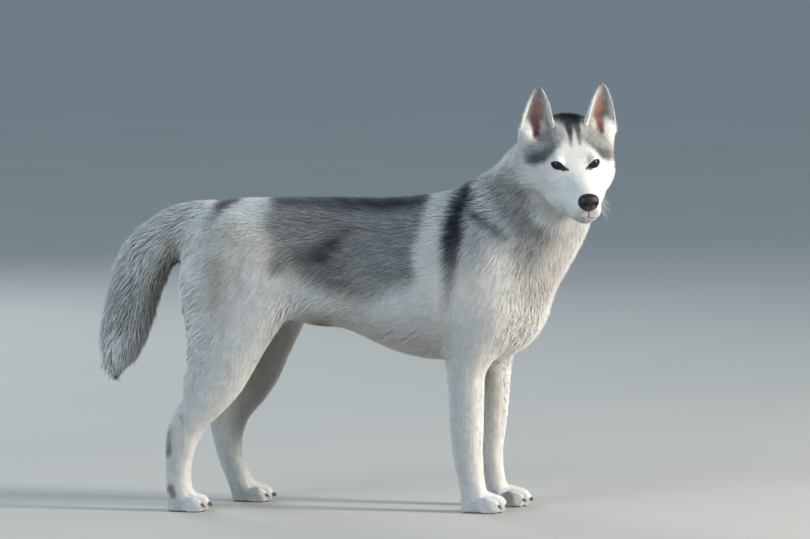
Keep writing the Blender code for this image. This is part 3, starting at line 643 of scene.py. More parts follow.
def ear_places(points, normals, side):
    """Where points are on an ear: share of its height, share of its half width, and how far they face its opening."""
    base, axis, facing, across, height = ear_frame(side)
    local = in_head(points) - np.array(base)
    along = local @ np.array(axis) / height
    width = EAR_HALF_WIDTH * np.clip(1 - np.clip(along, 0, 1) ** 1.55, 0.02, 1) ** 0.68 + 0.001
    sideways = local @ np.array(across) / width
    facing_share = (normals @ np.array(HEAD_TURN)) @ np.array(facing)
    return along, sideways, facing_share


def coat_fields(points, normals, names, edges):
    """The coat's lie, depth, length and unruliness at each point."""
    table = anchors()
    lie = np.zeros((len(points), 3))
    rest = np.zeros((len(points), 3))
    total = np.zeros(len(points))
    for row in table:
        distance = np.linalg.norm(points - row[:3], axis=1)
        weight = 1.0 / ((distance / row[9]) ** 2 + 0.15) ** 3
        lie += weight[:, None] * (row[3:6] / np.linalg.norm(row[3:6]))
        rest += weight[:, None] * row[6:9]
        total += weight
    lie /= total[:, None]
    rest /= total[:, None]
    for side, name in ((1, "ear_left"), (-1, "ear_right")):
        here = names == name
        along, sideways, _ = ear_places(points[here], normals[here], side)
        base, axis, facing, across, _ = ear_frame(side)
        upward = from_head([axis])[0] - np.array(HEAD_ORIGIN)
        outward = from_head([across])[0] - np.array(HEAD_ORIGIN)
        lie[here] = upward + outward * (0.25 * sideways * np.clip(1 - along, 0, 1))[:, None]
        rest[here] = (EAR_DEPTH / 1000, EAR_LENGTH / 1000, 0.08)
    lie = softened(unit(lie), edges, 6)
    rest = softened(rest, edges, 6)
    lie -= normals * (lie * normals).sum(1)[:, None]
    return unit(lie), rest[:, 0], rest[:, 1], rest[:, 2]


def inward_room(thing, points, normals):
    """How thick the flesh is under each point."""
    tree = BVHTree.FromObject(thing, bpy.context.evaluated_depsgraph_get())
    room = np.full(len(points), 0.2)
    for index, (point, normal) in enumerate(zip(points - normals * 0.0004, -normals)):
        hit = tree.ray_cast(Vector(point), Vector(normal), 0.2)
        if hit[0] is not None:
            room[index] = hit[3]
    return room


def eye_axes(side):
    """An eye's forward, outward and upward directions, in the head's frame, along its slanting slit."""
    forward = Vector((math.cos(EYE_OUT), side * math.sin(EYE_OUT), EYE_UP)).normalized()
    outward = Vector((-math.sin(EYE_OUT), side * math.cos(EYE_OUT), math.tan(EYE_SLANT)))
    outward = (outward - forward * outward.dot(forward)).normalized()
    upward = forward.cross(outward) * side
    return forward, outward, upward


EYE_OUT = math.radians(24)
EYE_UP = 0.06
EYE_SLANT = math.radians(11)
SLIT_HALF = math.radians(53)
SLIT_ABOVE = math.radians(21)
SLIT_BELOW = math.radians(18.5)
LID = 0.0015
LID_HUG = 0.0115
LID_SINK = 0.0016


def slit_margin(places, side):
    """How far inside the eye's opening points lie, measured over the eyeball, and their way out from its middle."""
    centre = np.array((EYE_PLACE[0], side * EYE_PLACE[1], EYE_PLACE[2]))
    forward, outward, upward = (np.array(axis) for axis in eye_axes(side))
    ray = places - centre
    distance = np.linalg.norm(ray, axis=1)
    round_turn = np.arctan2(ray @ outward, ray @ forward)
    rise = np.arcsin(np.clip(ray @ upward / np.maximum(distance, 1e-9), -1, 1))
    reach = round_turn / SLIT_HALF
    droop = -0.10 * SLIT_HALF * np.clip(-reach, 0, 2) ** 2
    above = SLIT_ABOVE * (1 - np.clip(np.abs(reach + 0.08), 0, 3) ** 2.2) + droop
    below = SLIT_BELOW * (1 - np.clip(np.abs(reach - 0.05), 0, 3) ** 2.0) - droop
    margin = np.minimum(above - rise, rise + below) * EYE_RADIUS
    margin = np.minimum(margin, (SLIT_HALF * 1.05 - np.abs(round_turn)) * EYE_RADIUS)
    return margin, ray, distance


def shape_face(points, names):
    """Sets the lids over the eyeballs, sinks the skin under eyes and nose, and presses in the mouth's line."""
    near = starts(names, "head", "eye", "nose", "neck")
    places = in_head(points[near])
    for side in (1, -1):
        margin, ray, distance = slit_margin(places, side)
        close = distance < 0.030
        hug = smoothstep(-LID_HUG, -0.0004, margin)
        lid = np.maximum(distance, EYE_RADIUS + LID)
        lid = lid + hug * (EYE_RADIUS + LID - lid)
        radius = np.where(margin > 0.0, EYE_RADIUS - LID_SINK, lid)
        ridge = np.exp(-(((margin + 0.0009) / 0.0009) ** 2))
        radius = radius + np.where(margin <= 0, 0.0004 * ridge, 0.0)
        moved = places + ray / np.maximum(distance, 1e-9)[:, None] * (radius - distance)[:, None]
        front = ray[:, 0] > -0.004
        apply = close & front
        places[apply] = moved[apply]
    ellipse = (places - np.array(NOSE_PLACE)) / (np.array(NOSE_RADII) - 0.0022)
    size = np.linalg.norm(ellipse, axis=1)
    inside = (size > 1.0) & (size < 1.22) & (places[:, 0] > NOSE_PLACE.x - 0.004)
    places[inside] = (ellipse[inside] / size[inside, None]) * (np.array(NOSE_RADII) - 0.0022) + np.array(NOSE_PLACE)
    folded = places * (1, 1, 1)
    folded[:, 1] = np.abs(folded[:, 1])
    gap, along = to_path(folded, MOUTH)
    fade = np.interp(along, (0, 4.5, 6.2, 7), (1, 1, 0.55, 0.15))
    muzzle_middle = np.array((0.045, 0.0, -0.055))
    inward = unit(muzzle_middle - places)
    front = places[:, 0] > 0.0
    press = 0.0021 * np.exp(-((gap / 0.0013) ** 2)) * fade * front
    above = np.exp(-(((gap - 0.0034) / 0.0022) ** 2)) * (places[:, 2] > np.interp(along, range(len(MOUTH)), [p[2] for p in MOUTH]))
    places += inward * (press - 0.0007 * above * fade * front)[:, None]
    under = (np.abs(places[:, 1]) < 0.006) & (places[:, 0] > 0.09) & (places[:, 2] < -0.040)
    places[:, 0] -= np.where(under, 0.0012 * np.exp(-((places[:, 1] / 0.0010) ** 2)), 0.0)
    points[near] = from_head(places)
    return points


def soften_sockets(points, edges):
    """Evens the skin round the eyes, out beyond the lids."""
    local = in_head(points)
    share = np.zeros(len(points))
    for side in (1, -1):
        margin, ray, distance = slit_margin(local, side)
        around = smoothstep(-0.0012, -0.0030, margin) * smoothstep(0.034, 0.025, distance)
        share = np.maximum(share, around)
    return softened(points, edges, 95 * share)


def shape_ears(points, normals):
    """Presses the head in before each ear's root, so the ear's hollow runs down into it."""
    for side in (1, -1):
        base, axis, facing, across, height = ear_frame(side)
        along, sideways, _ = ear_places(points, normals, side)
        toward = np.array(HEAD_TURN @ facing)
        proud = (in_head(points) - np.array(base)) @ np.array(facing)
        spread = in_head(points) - np.array(base)
        aside = np.abs(spread @ np.array(across))
        wanted = -0.0035 + 0.031 * (np.clip(0.29 - along, 0, 1) / 0.40) ** 1.3
        wanted = wanted + 0.012 * (aside / 0.024) ** 2
        hollow = smoothstep(-0.17, 0.02, along) * smoothstep(0.40, 0.30, along) * smoothstep(0.033, 0.023, aside)
        press = np.clip(proud - wanted, 0, 0.017) * hollow * (proud > -0.012) * (proud < 0.06)
        points = points - toward * press[:, None]
        upright = np.array(HEAD_TURN @ axis)
        high = smoothstep(0.45, 1.0, along) * (aside < 0.04) * (np.abs(proud) < 0.04)
        points = points - upright * (0.0045 * high)[:, None]
    return points


def softened_ears(points, edges):
    """Evens the skin a little where the ears meet the head."""
    local = in_head(points)
    near = np.zeros(len(points))
    for side in (1, -1):
        place = np.array((EAR_BASE[0] + 0.015, side * EAR_BASE[1], EAR_BASE[2] + 0.012))
        near = np.maximum(near, 1 - smoothstep(0.022, 0.036, np.linalg.norm(local - place, axis=1)))
    return softened(points, edges, 5 * near)


def shape_paws(points, names):
    """Presses in the grooves between the toes."""
    for name in ("forepaw_left", "forepaw_right", "hindpaw_left", "hindpaw_right"):
        here = names == name
        low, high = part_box(name)
        claws = [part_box(f"claw_{name[:4]}_{name[8:]}_{number}") for number in (1, 2, 3, 4)]
        middles = sorted(((box[0].y + box[1].y) / 2, box[1].x) for box in claws)
        local = points[here]
        forward = smoothstep(low.x + 0.40 * (high.x - low.x), low.x + 0.62 * (high.x - low.x), local[:, 0])
        press = np.zeros(len(local))
        for (first, _), (second, _) in zip(middles, middles[1:]):
            groove = (first + second) / 2
            press = np.maximum(press, np.exp(-(((local[:, 1] - groove) / 0.0026) ** 2)))
        amount = 0.0060 * press * forward * smoothstep(0.0, 0.010, local[:, 2])
        local[:, 0] -= amount * 0.8
        local[:, 2] = np.maximum(local[:, 2] - amount * 0.8 * smoothstep(0.006, 0.016, local[:, 2]), 0.0)
        points[here] = local
    return points


def paint(outer, normals, names):
    """The tone of skin or coat at points of the outer surface, as darkness, warmth and a bare-skin colour."""
    dog = in_dog(outer)
    side = dog[:, [0, 2]]
    darkness = np.full(len(outer), 0.07)
    warmth = np.full(len(outer), 0.03)
    for number, mark in enumerate(BODY_MARKS):
        if number == HAUNCH_EDGE:
            mantle = darkness
        darkness = stroke(darkness, side, mark)
    far = stroke(np.full(len(outer), 0.07), side, BODY_MARKS[HAUNCH_EDGE])
    darkness = np.where((dog[:, 1] > 0.02) & (far > 0.1), np.minimum(darkness, np.maximum(0.24, mantle)), darkness)
    for mark in BODY_TINTS:
        warmth = stroke(warmth, side, mark)
    breast = smoothstep(0.095, 0.050, np.abs(dog[:, 1] + 0.01)) * smoothstep(0.32, 0.37, dog[:, 0])
    breast = breast * smoothstep(0.60, 0.52, dog[:, 2])
    darkness = darkness + 0.85 * breast * (0.08 - darkness)
    sheath = 1 - smoothstep(0.012, 0.030, np.linalg.norm(dog - (-0.058, 0.0, 0.335), axis=1))
    darkness, warmth = darkness + 0.40 * sheath, np.maximum(warmth, 0.7 * sheath)
    hock = [mark for mark in BODY_MARKS if mark[0] in ("hock", "cannon", "cannon front", "heel")]
    for mark in hock:
        warmth = np.maximum(warmth, stroke(np.zeros(len(outer)), side, mark))
    within = -normals[:, 1] * np.where(np.char.endswith(names, "left"), 1, -1)
    inner = smoothstep(0.2, 0.7, within) * starts(names, "hindleg", "foreleg")
    inner = inner * smoothstep(0.42, 0.30, dog[:, 2]) * smoothstep(0.10, 0.20, dog[:, 2])
    inner = inner * np.where(starts(names, "hind"), 1.0, 0.3)
    warmth = np.maximum(warmth, 0.50 * inner)
    warmth = warmth + 0.05 * drift(outer, 0.07, 12)[:, 0]
    low = starts(names, "fore", "hind")
    pale = low & (dog[:, 2] < 0.36) & (inner < 0.02)
    tail = names == "tail"
    tone = np.full(tail.sum(), 0.40)
    for mark in TAIL_MARKS[1:] + TAIL_MARKS[:1]:
        tone = stroke(tone, side[tail], mark)
    darkness[tail] = tone
    darkness = np.where(pale & (darkness < 0.25), 0.04, darkness)
    head = starts(names, "head", "eye", "nose", "ear")
    local = in_head(outer[head])
    folded = local.copy()
    folded[:, 1] = np.abs(folded[:, 1])
    body_tone = darkness[head]
    behind = smoothstep(-0.050, -0.085, local[:, 0] + 0.35 * np.clip(-local[:, 2] - 0.02, 0, 1))
    tone = 0.03 + behind * (np.clip(body_tone, 0.2, 0.6) - 0.03)
    for mark in HEAD_MARKS:
        tone = stroke(tone, folded, mark)
    for mark in MIDDLE_MARKS:
        tone = stroke(tone, local, mark)
    heat = np.full(len(local), 0.02)
    for mark in HEAD_TINTS:
        heat = stroke(heat, folded, mark)
    darkness[head] = tone
    warmth[head] = heat
    bare = np.zeros((len(outer), 4))
    for side_sign, name in ((1, "ear_left"), (-1, "ear_right")):
        along, sideways, facing = ear_places(outer, normals, side_sign)
        width = EAR_HALF_WIDTH * np.clip(1 - np.clip(along, 0, 1) ** 1.55, 0.02, 1) ** 0.68 + 0.001
        aside = sideways * width
        here = names == name
        back = smoothstep(0.1, -0.35, facing)
        edge = smoothstep(0.60, 0.85, np.abs(sideways) + 0.12 * along)
        ear = 0.40 + 0.14 * along + 0.30 * back
        ear = ear + edge * (0.06 - ear)
        darkness[here] = ear[here]
        warmth[here] = 0.12
        ahead = (in_head(outer) - np.array((EAR_BASE[0], side_sign * EAR_BASE[1], EAR_BASE[2]))) @ np.array(
            ear_frame(side_sign)[2]
        )
        front = here | (head & (along > -0.05) & (along < 0.5) & (ahead < 0.04) & (np.abs(aside) < 0.03))
        span = np.interp(along, (-0.06, 0.10, 0.32, 0.60, 0.88), (0.10, 0.36, 0.60, 0.50, 0.12))
        hollow = smoothstep(0.0, 0.3, facing) * smoothstep(1.0, 0.45, np.abs(sideways) / span)
        hollow = hollow * smoothstep(0.90, 0.60, along) * smoothstep(-0.05, 0.10, along)
        # Painted shade: the pink skin darkens deep in the ear's hollow, toward its root and canal.
        hollow_shade = smoothstep(0.50, 0.12, along) * smoothstep(0.42, 0.10, np.abs(sideways))
        colour = EAR_PINK + hollow_shade[:, None] * (EAR_HOLLOW_SHADE - EAR_PINK)
        bare[front] = np.column_stack((colour, hollow))[front]
    return darkness, warmth, bare


def tones(darkness, warmth):
    """Pigment colours for darkness and warmth."""
    pale = WHITE + np.clip(warmth, 0, 1)[:, None] * (TAN - WHITE)
    dark = DARK + 0.35 * np.clip(warmth, 0, 1)[:, None] * (0.3 * TAN - DARK)
    return pale + np.clip(darkness, 0, 1)[:, None] * (dark - pale)


def set_tone(mesh, colours):
    layer = mesh.color_attributes.new("tone", "FLOAT_COLOR", "POINT")
    data = np.ones((len(colours), 4), np.float32)
    data[:, :3] = colours
    layer.data.foreach_set("color", data.ravel())
    mesh.color_attributes.active_color = layer


def rim_weights(points):
    """How far each point belongs to an eye's black rim, and to the black lips."""
    places = in_head(points)
    rim = np.zeros(len(points))
    for side in (1, -1):
        margin, ray, distance = slit_margin(places, side)
        near = (distance < 0.022) & (ray[:, 0] > -0.004)
        here = smoothstep(-0.0044, -0.0030, margin)
        forward, outward, _ = (np.array(axis) for axis in eye_axes(side))
        centre = np.array((EYE_PLACE[0], side * EYE_PLACE[1], EYE_PLACE[2]))
        corner = centre + EYE_RADIUS * (math.cos(SLIT_HALF) * forward - math.sin(SLIT_HALF) * outward)
        inner = np.array((0.0150, side * 0.0178, -0.0030))
        duct = 1 - smoothstep(0.0022, 0.0042, to_path(places, (corner, inner))[0])
        wing = centre + EYE_RADIUS * (math.cos(SLIT_HALF) * forward + math.sin(SLIT_HALF) * outward)
        duct = np.maximum(duct, 1 - smoothstep(0.0014, 0.0032, to_path(places, (wing, wing + 0.0060 * outward))[0]))
        rim = np.maximum(rim, np.where(near, here, 0.0))
        rim = np.maximum(rim, duct)
    folded = places.copy()
    folded[:, 1] = np.abs(folded[:, 1])
    gap, along = to_path(folded, MOUTH)
    fade = np.interp(along, (0, 4.5, 6.5, 7), (1, 0.9, 0.5, 0.0))
    lips = (1 - smoothstep(0.0012, 0.0030, gap)) * fade * (places[:, 0] > 0)
    cleft = smoothstep(0.0021, 0.0009, np.abs(places[:, 1])) * (places[:, 0] > 0.085)
    cleft = cleft * smoothstep(-0.0645, -0.0625, places[:, 2]) * (places[:, 2] < -0.044)
    lips = np.maximum(lips, 0.8 * cleft)
    return rim, lips


def build_skin():
    """The one skin, inside the CAD's flesh by the coat's depth, with what the coat needs at each of its points."""
    skin = joined_flesh()
    apply_modifier(skin, "DISPLACE", strength=SEAL, mid_level=0.0)
    apply_modifier(skin, "REMESH", mode="VOXEL", voxel_size=SKIN_VOXEL)
    points, edges = read_points(skin.data), read_edges(skin.data)
    names = node_of(points)
    rounds = np.zeros(len(points))
    for start, count in SMOOTH_ROUNDS.items():
        inside = np.char.find(names, start) >= 0
        rounds[inside & (rounds == 0)] = count
    local = in_head(points)
    on_head = starts(names, "head", "eye", "nose")
    face = smoothstep(-0.07, -0.01, local[:, 0])
    rounds[on_head] = (SMOOTH_ROUNDS["head"] + face * (FACE_ROUNDS - SMOOTH_ROUNDS["head"]))[on_head]
    rounds = softened(rounds, edges, 8)
    floor = points[:, 2] < 0.0012
    points = softened(points, edges, np.where(floor, 0, rounds))
    points[:, 2] = np.maximum(points[:, 2], 0.0)
    write_points(skin.data, points)
    apply_modifier(skin, "TRIANGULATE")
    fine = starts(names, "head", "ear", "eye", "nose", "forepaw", "hindpaw")
    group = skin.vertex_groups.new(name="coarse")
    group.add(np.nonzero(~fine)[0].tolist(), 1.0, "REPLACE")
    corners = read_triangles(skin.data)
    covered = (~fine)[corners].all(1).sum()
    ratio = 1 - (covered - BODY_TRIANGLES) / len(corners)
    apply_modifier(skin, "DECIMATE", ratio=ratio, vertex_group="coarse", use_collapse_triangulate=True)
    skin.vertex_groups.clear()

    def round_eyes(reach):
        def chosen(middles):
            places = in_head(middles)
            found = np.zeros(len(places), bool)
            for side in (1, -1):
                margin, ray, distance = slit_margin(places, side)
                found |= (distance < reach) & (ray[:, 0] > -0.003)
            return found
        return chosen

    def round_muzzle(middles):
        places = in_head(middles)
        places[:, 1] = np.abs(places[:, 1])
        return (to_path(places, MOUTH)[0] < 0.007) | ((places[:, 0] > 0.08) & (places[:, 2] > -0.07))

    def round_toes(middles):
        return (middles[:, 2] < 0.04) & (middles[:, 2] > 0.0005)

    refine(skin, round_eyes(0.019))
    refine(skin, round_eyes(0.0165))
    refine(skin, round_muzzle)
    refine(skin, round_toes)
    mesh = skin.data
    points, edges = read_points(mesh), read_edges(mesh)
    normals = read_normals(mesh)
    names = node_of(points)
    broad = ~starts(names, "ear", "forepaw", "hindpaw", "head", "eye", "nose")
    normals = unit(softened(normals, edges, np.where(broad, 6, 2)))
    lie, depth, length, unruly = coat_fields(points, normals, names, edges)
    room = inward_room(skin, points, normals)
    depth = np.minimum(depth, DEEPEST_SHARE * room)
    depth *= smoothstep(0.0, 0.012, points[:, 2])
    depth = softened(depth, edges, 5)
    outer = points.copy()
    points = points - normals * depth[:, None]
    points[:, 2] = np.where(outer[:, 2] < 0.001, 0.0, np.maximum(points[:, 2], 0.0))
    points = soften_sockets(shape_face(points, names), edges)
    points = shape_paws(points, names)
    points = softened_ears(shape_ears(points, normals), edges)
    write_points(mesh, points)
    normals = read_normals(mesh)
    rim, lips = rim_weights(points)
    darkness, warmth, bare = paint(outer, normals, names)
    colour = tones(darkness, warmth) * 0.92
    colour = colour + bare[:, 3:] * (bare[:, :3] - colour)
    colour = colour + rim[:, None] * (RIM_BLACK - colour)
    colour = colour + lips[:, None] * (LIP_BLACK - colour)
    sole = smoothstep(0.004, 0.0005, points[:, 2])
    colour = colour + sole[:, None] * (PAD_GREY - colour)
    nose = np.linalg.norm((in_head(points) - np.array(NOSE_PLACE)) / (np.array(NOSE_RADII) + 0.0005), axis=1)
    colour = colour + smoothstep(1.08, 1.0, nose)[:, None] * (RIM_BLACK - colour)
    set_tone(mesh, colour)
    mesh.shade_smooth()
    mesh.materials.clear()
    mesh.materials.append(skin_material())
    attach(skin, "root")
    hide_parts(*[name for name in nodes if not name.startswith(("claw", "eye", "nose"))])
    bald = np.maximum.reduce((rim, lips, sole, np.where(starts(names, "ear"), 0.86, 0.95) * bare[:, 3]))
    bald = np.maximum(bald, (nose < 1.02) * 1.0)
    for side in (1, -1):
        margin, ray, distance = slit_margin(in_head(points), side)
        bald = np.maximum(bald, ((margin > -0.0012) & (distance < 0.02) & (ray[:, 0] > 0)) * 1.0)
    fields = {
        "point": points, "normal": normals, "lie": lie, "depth": depth, "length": length,
        "unruly": unruly, "bald": bald,
    }
    return skin, fields, names


# The coat's pieces: name, starts of its nodes' names, side, and ahead of or behind the trunk's middle
TRUNK_MIDDLE = 0.03
REGIONS = (
    ("head_left", ("head", "eye", "nose"), 1, 0),
    ("head_right", ("head", "eye", "nose"), -1, 0),
    ("ears", ("ear",), 0, 0),
    ("neck_left", ("neck",), 1, 0),
    ("neck_right", ("neck",), -1, 0),
    ("chest_left", ("trunk",), 1, 1),
    ("chest_right", ("trunk",), -1, 1),
    ("loin_left", ("trunk",), 1, -1),
    ("loin_right", ("trunk",), -1, -1),
    ("tail", ("tail",), 0, 0),
    ("foreleg_left", ("fore",), 1, 0),
    ("foreleg_right", ("fore",), -1, 0),
    ("haunch_left", ("hind",), 1, 0),
    ("haunch_right", ("hind",), -1, 0),
)


def region_of(names, points):
    """The number of the region that each place belongs to."""
    found = np.full(len(names), -1)
    dog = in_dog(points)
    head = in_head(points)
    for number, (_, owners, side, ahead) in enumerate(REGIONS):
        here = starts(names, *owners)
        if side:
            left = head[:, 1] if owners[0] == "head" else dog[:, 1]
            if owners[0] in ("fore", "hind"):
                left = np.where(np.char.endswith(names, "left"), 1, -1)
            here &= (left > 0) == (side > 0)
        if ahead:
            here &= (dog[:, 0] > TRUNK_MIDDLE) == (ahead > 0)
        found[here] = number
    return found


def tuft_roots(fields, corners, names):
    """Places for the tufts' roots, spread over the skin as thickly as their sizes need."""
    points = fields["point"]
    a, b, c = (points[corners[:, k]] for k in range(3))
    area = np.linalg.norm(np.cross(b - a, c - a), axis=1) / 2
    length = fields["length"][corners].mean(1)
    width = np.clip(WIDTH_SHARE * length, NARROWEST, WIDEST)
    layers = np.interp(length, (0.003, 0.006, 0.012, 0.02, 0.03, 0.045), (1.5, 2.0, 2.6, 3.2, 3.9, 4.4))
    per_area = layers / (0.5 * length * width)
    per_area *= 1 - smoothstep(0.4, 0.9, fields["bald"][corners].max(1))
    wanted = area * per_area
    counts = np.floor(wanted + rng.random(len(wanted))).astype(int)
    face = np.repeat(np.arange(len(corners)), counts)
    first, second = rng.random(len(face)), rng.random(len(face))
    over = first + second > 1
    first[over], second[over] = 1 - first[over], 1 - second[over]
    weights = np.column_stack((1 - first - second, first, second))
    return face, weights


def blended(values, corners, face, weights):
    picked = values[corners[face]]
    if values.ndim == 1:
        return (picked * weights).sum(1)
    return (picked * weights[:, :, None]).sum(1)


def nearest(tree, places):
    return np.array([tree.find(place)[1] for place in places])


def kd_tree(points):
    tree = KDTree(len(points))
    for index, point in enumerate(points):
        tree.insert(point, index)
    tree.balance()
    return tree


def drift(points, size, seed):
    """A smooth wandering direction, of about the given size from one turn to the next."""
    waves = np.random.default_rng(seed)
    found = np.zeros_like(points)
    for _ in range(5):
        way = unit(waves.normal(size=3)) * (2 * math.pi / size) * waves.uniform(0.6, 1.6)
        push = unit(waves.normal(size=3))
        found += np.sin(points @ way + waves.uniform(0, 6.28))[:, None] * push
    return found / 2.2


# Where the head's fur stands fuller, on both sides: place in the head's frame, reach and added height
FULLER = (
    ((-0.038, 0.084, 0.008), 0.027, 0.0040),
    ((-0.032, 0.076, -0.022), 0.026, 0.0026),
)


def fluff(points):
    local = in_head(points)
    local[:, 1] = np.abs(local[:, 1])
    added = np.zeros(len(points))
    for place, reach, height in FULLER:
        distance = np.linalg.norm(local - np.array(place), axis=1)
        added = added + height * np.exp(-((distance / reach) ** 2))
    return added


def lay_coat(fields, corners, names, skin_tree):
    """Every tuft's root, middle, tip, width and tone."""
    face, weights = tuft_roots(fields, corners, names)
    root = blended(fields["point"], corners, face, weights)
    normal = unit(blended(fields["normal"], corners, face, weights))
    lie = blended(fields["lie"], corners, face, weights)
    depth = blended(fields["depth"], corners, face, weights)
    length = blended(fields["length"], corners, face, weights)
    unruly = blended(fields["unruly"], corners, face, weights)
    count = len(face)
    length = length * rng.uniform(0.72, 1.18, count)
    wander = drift(root, 0.060, 3) * 0.65 + drift(root, 0.020, 4) * 0.35
    scatter = rng.normal(size=(count, 3))
    lie = unit(lie) + wander * (0.14 + 0.9 * unruly)[:, None] + scatter * (0.07 + 0.32 * unruly)[:, None]
    lie = unit(lie - normal * (lie * normal).sum(1)[:, None])
    height = depth * (0.84 + 0.22 * rng.random(count)) * (1 + 0.5 * unruly * (rng.random(count) - 0.35))
    height = height + fluff(root)
    stray = rng.random(count) < 0.03 + 0.05 * unruly
    height = np.where(stray, height * 1.25, height)
    ahead = np.sqrt(np.maximum(length**2 - height**2, (0.4 * length) ** 2))
    level = root + lie * ahead[:, None]
    there = nearest(skin_tree, level)
    base, base_normal = fields["point"][there], fields["normal"][there]
    follow = np.clip((base_normal * normal).sum(1), 0.0, 1.0)
    lift = ((level - base) * base_normal).sum(1)
    wanted = level + base_normal * (height - lift)[:, None]
    straight = level + normal * height[:, None]
    tip = straight + (follow * 0.9)[:, None] * (wanted - straight)
    tip[:, 2] = np.maximum(tip[:, 2], 0.0015)
    middle = root + 0.52 * (tip - root) + normal * (0.30 * height)[:, None]
    clumps = rng.choice(count, count // CLUMP_EVERY, replace=False)
    mine = clumps[nearest(kd_tree(root[clumps]), root)]
    pull = np.clip(0.04 + 0.75 * unruly, 0, 0.65) * (np.linalg.norm(root[mine] - root, axis=1) < 0.02)
    pull = pull * smoothstep(0.004, 0.014, length)
    tip += (tip[mine] - tip) * (0.75 * pull)[:, None]
    middle += (middle[mine] - middle) * (0.30 * pull)[:, None]
    width = np.clip(WIDTH_SHARE * length, NARROWEST, WIDEST) * rng.uniform(0.75, 1.2, count)
    name = names[corners[face][np.arange(count), weights.argmax(1)]]
    return {
        "root": root, "middle": middle, "tip": tip, "normal": normal, "lie": lie, "width": width,
        "length": length, "name": name, "mine": mine, "unruly": unruly,
    }


def tuft_tones(tufts):
    """Each tuft's tone: dark and pale hairs mixed in the share that the markings ask for."""
    outer = 0.35 * tufts["middle"] + 0.65 * tufts["tip"]
    darkness, warmth, bare = paint(outer, tufts["normal"], tufts["name"])
    count = len(darkness)
    own = rng.random(count)
    clump = rng.random(count)[tufts["mine"]]
    chance = 0.5 + 0.48 * (0.74 * (own - 0.5) + 0.26 * (clump - 0.5)) * 2
    streak = drift(outer * (0.35, 1.0, 1.6), 0.012, 8)[:, 0]
    chance = chance + 0.10 * streak
    mixed = smoothstep(-0.34, 0.34, darkness - chance)
    patchy = drift(outer, 0.024, 9)[:, 1]
    ragged = 0.10 + 0.35 * tufts["unruly"]
    plain = darkness + ragged * (0.7 * (own - 0.5) + 0.5 * (clump - 0.5)) + 0.045 * patchy
    mixed_share = 0.36 + 0.5 * tufts["unruly"]
    mixing = smoothstep(0.12, 0.30, darkness) * smoothstep(1.0, 0.86, darkness)
    shade = plain + mixed_share * mixing * (mixed * 0.92 + 0.04 - plain)
    colour = tones(shade, warmth + 0.10 * (clump - 0.5))
    colour = colour * (1 + 0.10 * (own - 0.5))[:, None]
    hollow = bare[:, 3] * 0.35
    colour = colour + hollow[:, None] * (bare[:, :3] - colour)
    return np.clip(colour, 0.0, 1.0)


LONG_FACES = np.array(
    [(0, 4, 1), (0, 3, 4), (1, 5, 2), (1, 4, 5), (2, 3, 0), (2, 5, 3), (3, 6, 4), (4, 6, 5), (5, 6, 3), (0, 1, 2)]
)
SHORT_FACES = np.array([(0, 3, 1), (1, 3, 2), (2, 3, 0), (0, 1, 2)])


def tuft_mesh(tufts, picked, colours, uv):
    """Points, triangles, tones, normals and map places of the picked tufts, as closed three-sided spikes; the tones
    carry painted shade, darkest at the roots, and a touch of painted light at the tips.
    """
    long = picked[tufts["length"][picked] >= LONG_FUR]
    short = picked[tufts["length"][picked] < LONG_FUR]
    parts = []
    for chosen, faces, is_long in ((long, LONG_FACES, True), (short, SHORT_FACES, False)):
        if not len(chosen):
            continue
        root, middle, tip = (tufts[key][chosen] for key in ("root", "middle", "tip"))
        normal, lie = tufts["normal"][chosen], tufts["lie"][chosen]
        aside = unit(np.cross(normal, lie))
        half = (tufts["width"][chosen] / 2)[:, None]
        sunk = root - normal * 0.0006
        ring = [sunk + aside * half, sunk - aside * half, sunk + normal * (0.7 * half + 0.0006)]
        # Painted shade along each tuft: the root ring is darkened and the tip brightened, in place of the shade that
        # falls deep in the coat.
        painted_root_shade = [0.82, 0.82, 0.88]
        around = [aside, -aside, normal]
        if is_long:
            along = unit(tip - root)
            rise = unit(np.cross(along, aside))
            rise = rise * np.sign((rise * normal).sum(1))[:, None]
            ring += [middle + aside * half * 0.85, middle - aside * half * 0.85, middle + rise * half * 0.6]
            painted_root_shade += [0.94, 0.94, 0.98]
            around += [aside, -aside, rise]
        ring.append(tip)
        painted_root_shade.append(1.03)
        around.append(normal)
        spread = np.stack(ring, 1)
        size = spread.shape[1]
        tone = colours[chosen][:, None, :] * np.array(painted_root_shade)[None, :, None]
        shading = unit(0.86 * normal[:, None, :] + 0.14 * np.stack(around, 1))
        offset = np.linspace(-PATCH / 2, PATCH / 2, size)
        places = np.zeros((len(chosen), size, 2))
        places[:, :, 0] = uv[chosen][:, None, 0] + np.tile((-PATCH / 2, PATCH / 2, 0.0), 3)[:size]
        places[:, :, 1] = uv[chosen][:, None, 1] + offset
        triangles = faces[None] + (np.arange(len(chosen)) * size)[:, None, None]
        parts.append((spread.reshape(-1, 3), triangles.reshape(-1, 3), tone.reshape(-1, 3), shading.reshape(-1, 3), places.reshape(-1, 2)))
    start = 0
    triangles = []
    for part in parts:
        triangles.append(part[1] + start)
        start += len(part[0])
    joined = [np.concatenate([part[k] for part in parts]) for k in (0, 2, 3, 4)]
    return joined[0], np.concatenate(triangles), joined[1], joined[2], joined[3]


def mesh_of(name, points, triangles):
    mesh = bpy.data.meshes.new(name)
    mesh.vertices.add(len(points))
    mesh.vertices.foreach_set("co", points.astype(np.float32).ravel())
    mesh.loops.add(triangles.size)
    mesh.loops.foreach_set("vertex_index", triangles.astype(np.int32).ravel())
    mesh.polygons.add(len(triangles))
    mesh.polygons.foreach_set("loop_start", np.arange(0, triangles.size, 3, dtype=np.int32))
    mesh.update(calc_edges=True)
    return mesh


